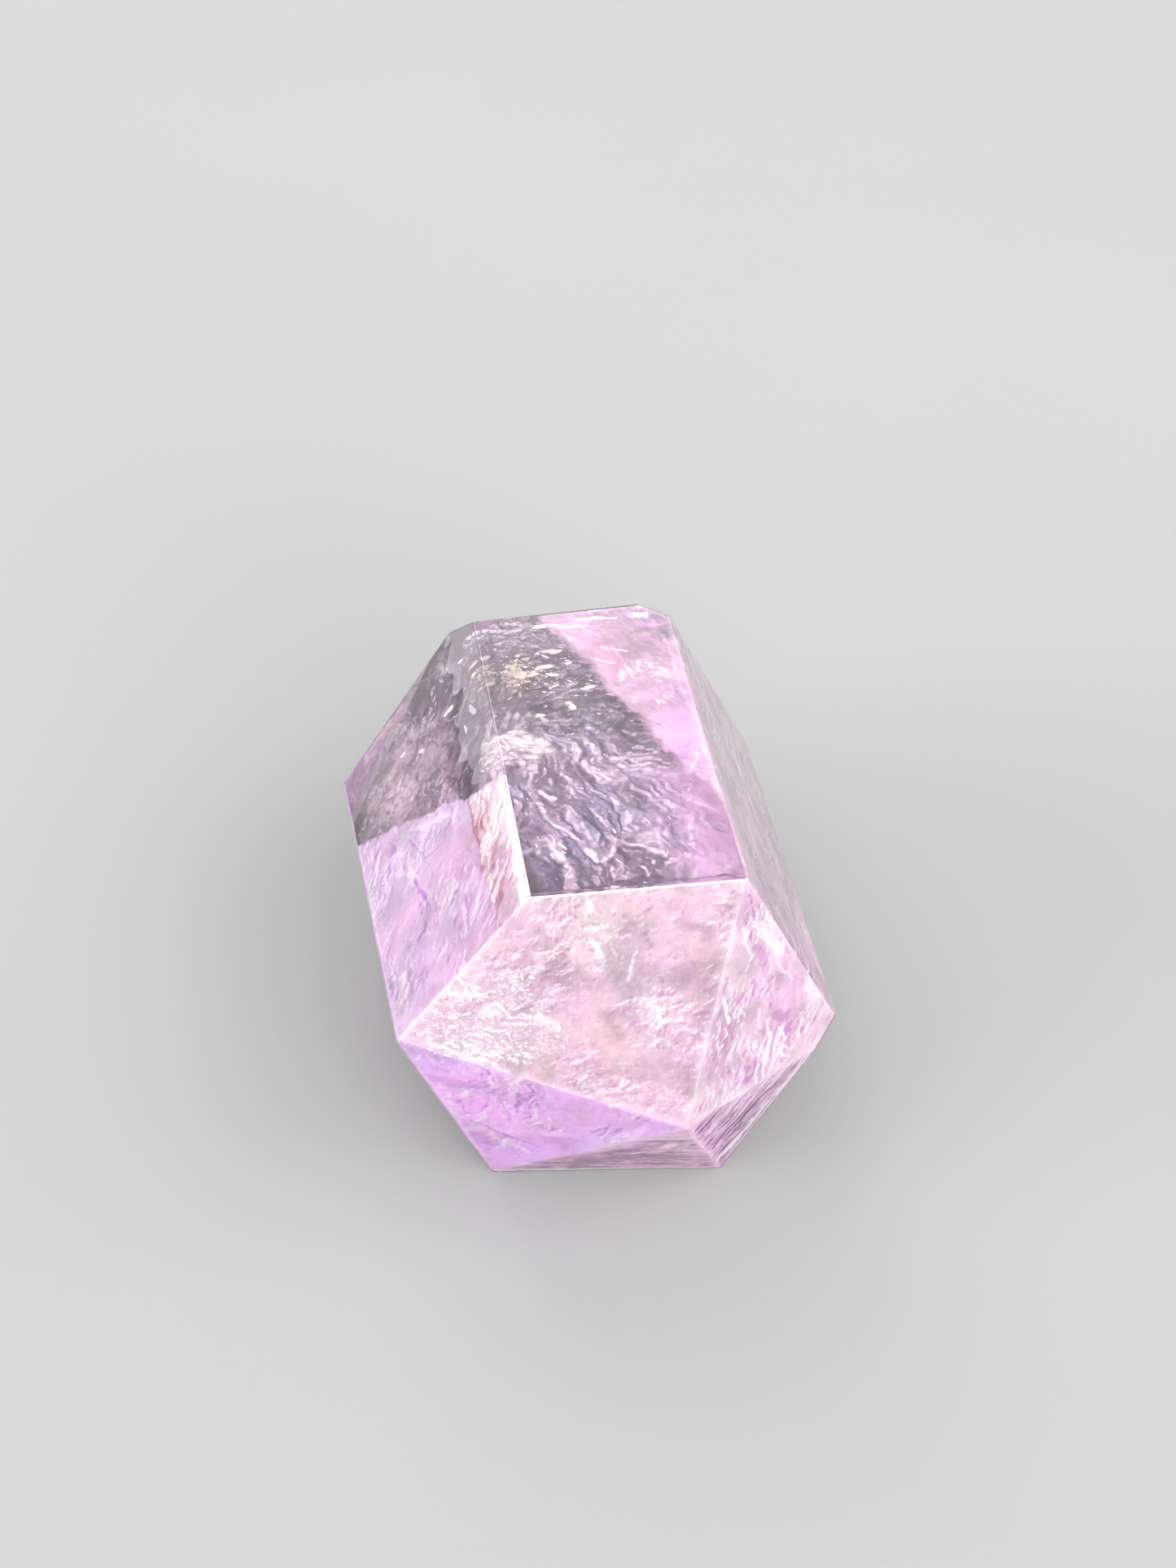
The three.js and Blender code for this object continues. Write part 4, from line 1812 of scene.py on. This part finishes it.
@dataclass
class Flakes(Sealed):
    """The swarms of flakes inside."""

    def parts(self) -> list[FlakeSwarm]:
        """Lists the swarms.

        Returns:
            The pieces, in the order in which they are made.
        """
        cream = FlakeFinish("cream_flakes", pale=(0.96, 0.90, 0.74), deep=(0.82, 0.71, 0.52))
        white = FlakeFinish("white_flakes", pale=(1.0, 0.97, 0.97), deep=(0.97, 0.88, 0.93))
        dusky = FlakeFinish("dusky_flakes", pale=(0.34, 0.26, 0.33), deep=(0.15, 0.11, 0.16))
        brown = FlakeFinish("brown_flakes", pale=(0.75, 0.45, 0.30), deep=(0.40, 0.14, 0.12))
        return [
            FlakeSwarm(
                "golden_flakes", cream, (-3.6, 3.4, 29), (2.4, 2.4, 0.8), 260, (0.06, 0.34), longer=1.5,
                scatter=0.6, seed=11,
            ),
            FlakeSwarm(
                "bright_flakes", white, (1.5, 9.3, 29.6), (2.2, 0.5, 0.2), 26, (0.15, 0.45), longer=2.6,
                scatter=0.12, seed=43,
            ),
            FlakeSwarm(
                "corner_flakes", white, (7.0, 8.6, 29.6), (0.9, 0.5, 0.2), 14, (0.2, 0.5), longer=1.4,
                scatter=0.15, seed=44,
            ),
            FlakeSwarm(
                "upper_flakes", white, (0.5, 3, 28), (9, 7, 2), 130, (0.06, 0.4), longer=2.4, scatter=0.3,
                seed=12,
            ),
            FlakeSwarm("dusky_flakes", dusky, (0, 2, 27), (9, 6, 3), 130, (0.12, 0.5), longer=2.0, seed=14),
            FlakeSwarm(
                "fan_flakes", white, (0, -13, 28), (8, 9, 2), 90, (0.04, 0.16), along=(0.35, -0.94, 0),
                longer=4, seed=15,
            ),
            FlakeSwarm(
                "side_flakes", white, (-11.5, 1, 25.5), (3, 7, 3), 70, (0.06, 0.4), faces=(312, 0),
                along=(0, 1, 0), seed=16,
            ),
            FlakeSwarm(
                "feather_flakes", white, (-8.8, -24.5, 21.5), (5.5, 4, 0.3), 500, (0.05, 0.26),
                faces=(342, -85), along=(0.6, 0, -0.6), longer=2.2, scatter=0.5, clear=0.15, seed=13,
            ),
            FlakeSwarm(
                "broad_flakes", white, (0, -24.6, 20), (14, 12, 0.3), 300, (0.04, 0.2), faces=(342, -85),
                along=(0.7, 0, -0.7), longer=3.5, scatter=0.4, clear=0.15, seed=19,
            ),
            FlakeSwarm(
                "rust_spot", brown, (-11.9, -12.6, 23.4), (0.5, 0.9, 0.2), 40, (0.08, 0.24), faces=(312, 0),
                along=(0, 1, 0), longer=1.6, clear=0.1, seed=31,
            ),
        ]

@dataclass(frozen=True)
class SoftLight:
    """A large square soft light that faces the stone. Sizes are in metres, and the power is in watts."""

    name: str
    place: Place
    size: float
    power: float

    def add(self) -> bpy.types.Object:
        """Hangs the light.

        Returns:
            The light.
        """
        data = bpy.data.lights.new(self.name, "AREA")
        data.shape = "SQUARE"
        data.size = self.size
        data.energy = self.power
        lamp = bpy.data.objects.new(self.name, data)
        lamp.location = self.place
        lamp.rotation_euler = (-Vector(self.place)).to_track_quat("-Z", "Y").to_euler()
        bpy.context.scene.collection.objects.link(lamp)
        return lamp


@dataclass
class Studio:
    """The pale floor, the soft lights and the camera."""

    camera_at: Place = (-19.1 * MM, -142.9 * MM, 126.5 * MM)
    heading_deg: float = 8.1
    pitch_deg: float = 35.93
    roll_deg: float = 1.98
    lens_over_height: float = 1.505
    sensor_height_mm: float = 24.0
    nearest: float = 1 * MM
    floor_half: float = 1.5
    floor_gap: float = 0.05 * MM
    room_tint: Colour = (0.96, 0.97, 1.0)
    room_light: float = 1.9
    lights: tuple[SoftLight, ...] = (
        SoftLight("key", (-0.15, 0.45, 0.6), 0.5, 3.9),
        SoftLight("front", (0.12, -0.65, 0.35), 0.8, 8.5),
        SoftLight("low", (0.15, -0.6, 0.07), 0.35, 3.2),
        SoftLight("left", (-0.75, -0.2, 0.22), 0.6, 6.4),
        SoftLight("right", (0.62, -0.3, 0.6), 0.6, 4.6),
    )
    bounces: int = 24
    clear_bounces: int = 20
    mirror_bounces: int = 12
    veil_passes: int = 48

    def add_camera(self) -> bpy.types.Object:
        """Adds the camera and makes it the scene's.

        Returns:
            The camera.
        """
        data = bpy.data.cameras.new("camera")
        data.sensor_fit = "VERTICAL"
        data.sensor_height = self.sensor_height_mm
        data.lens = self.sensor_height_mm * self.lens_over_height
        data.clip_start = self.nearest
        camera = bpy.data.objects.new("camera", data)
        turn = Matrix.Rotation(math.radians(-self.heading_deg), 4, "Z")
        tilt = Matrix.Rotation(math.radians(90 - self.pitch_deg), 4, "X")
        roll = Matrix.Rotation(math.radians(-self.roll_deg), 4, "Z")
        camera.matrix_world = Matrix.Translation(self.camera_at) @ turn @ tilt @ roll
        bpy.context.scene.collection.objects.link(camera)
        bpy.context.scene.camera = camera
        return camera

    def add_floor(self) -> bpy.types.Object:
        """Lays the pale floor just under the stone.

        Returns:
            The floor.
        """
        half, height = self.floor_half, -self.floor_gap
        mesh = bpy.data.meshes.new("floor")
        ends = [(-half, -half, height), (half, -half, height), (half, half, height), (-half, half, height)]
        mesh.from_pydata(ends, [], [(0, 1, 2, 3)])
        mesh.materials.append(FloorFinish().material())
        floor = bpy.data.objects.new("floor", mesh)
        bpy.context.scene.collection.objects.link(floor)
        return floor

    def add_lights(self) -> None:
        """Sets the room's even light and hangs the soft lights."""
        world = bpy.data.worlds.new("studio")
        world.use_nodes = True
        room = world.node_tree.nodes["Background"].inputs
        room["Color"].default_value = (*self.room_tint, 1)
        room["Strength"].default_value = self.room_light
        bpy.context.scene.world = world
        for light in self.lights:
            light.add()

    def set_paths(self) -> None:
        """Lets light pass through the clear stone and its many thin veils, and shows colours plainly."""
        scene = bpy.context.scene
        scene.cycles.max_bounces = self.bounces
        scene.cycles.transmission_bounces = self.clear_bounces
        scene.cycles.glossy_bounces = self.mirror_bounces
        scene.cycles.transparent_max_bounces = self.veil_passes
        scene.view_settings.view_transform = "Standard"

    def build(self) -> None:
        """Sets up the whole studio."""
        self.add_camera()
        self.add_floor()
        self.add_lights()
        self.set_paths()


def main() -> None:
    """Builds the stone, what is sealed in it and the studio."""
    logging.basicConfig(level=logging.INFO, format="%(name)s: %(message)s")
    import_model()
    stone = Stone()
    stone.build()
    for sealed in (BluntZones(), SideZones(), PointZones(), Cracks(), Flakes()):
        sealed.build(stone)
    Studio().build()


if __name__ == "__main__":
    main()
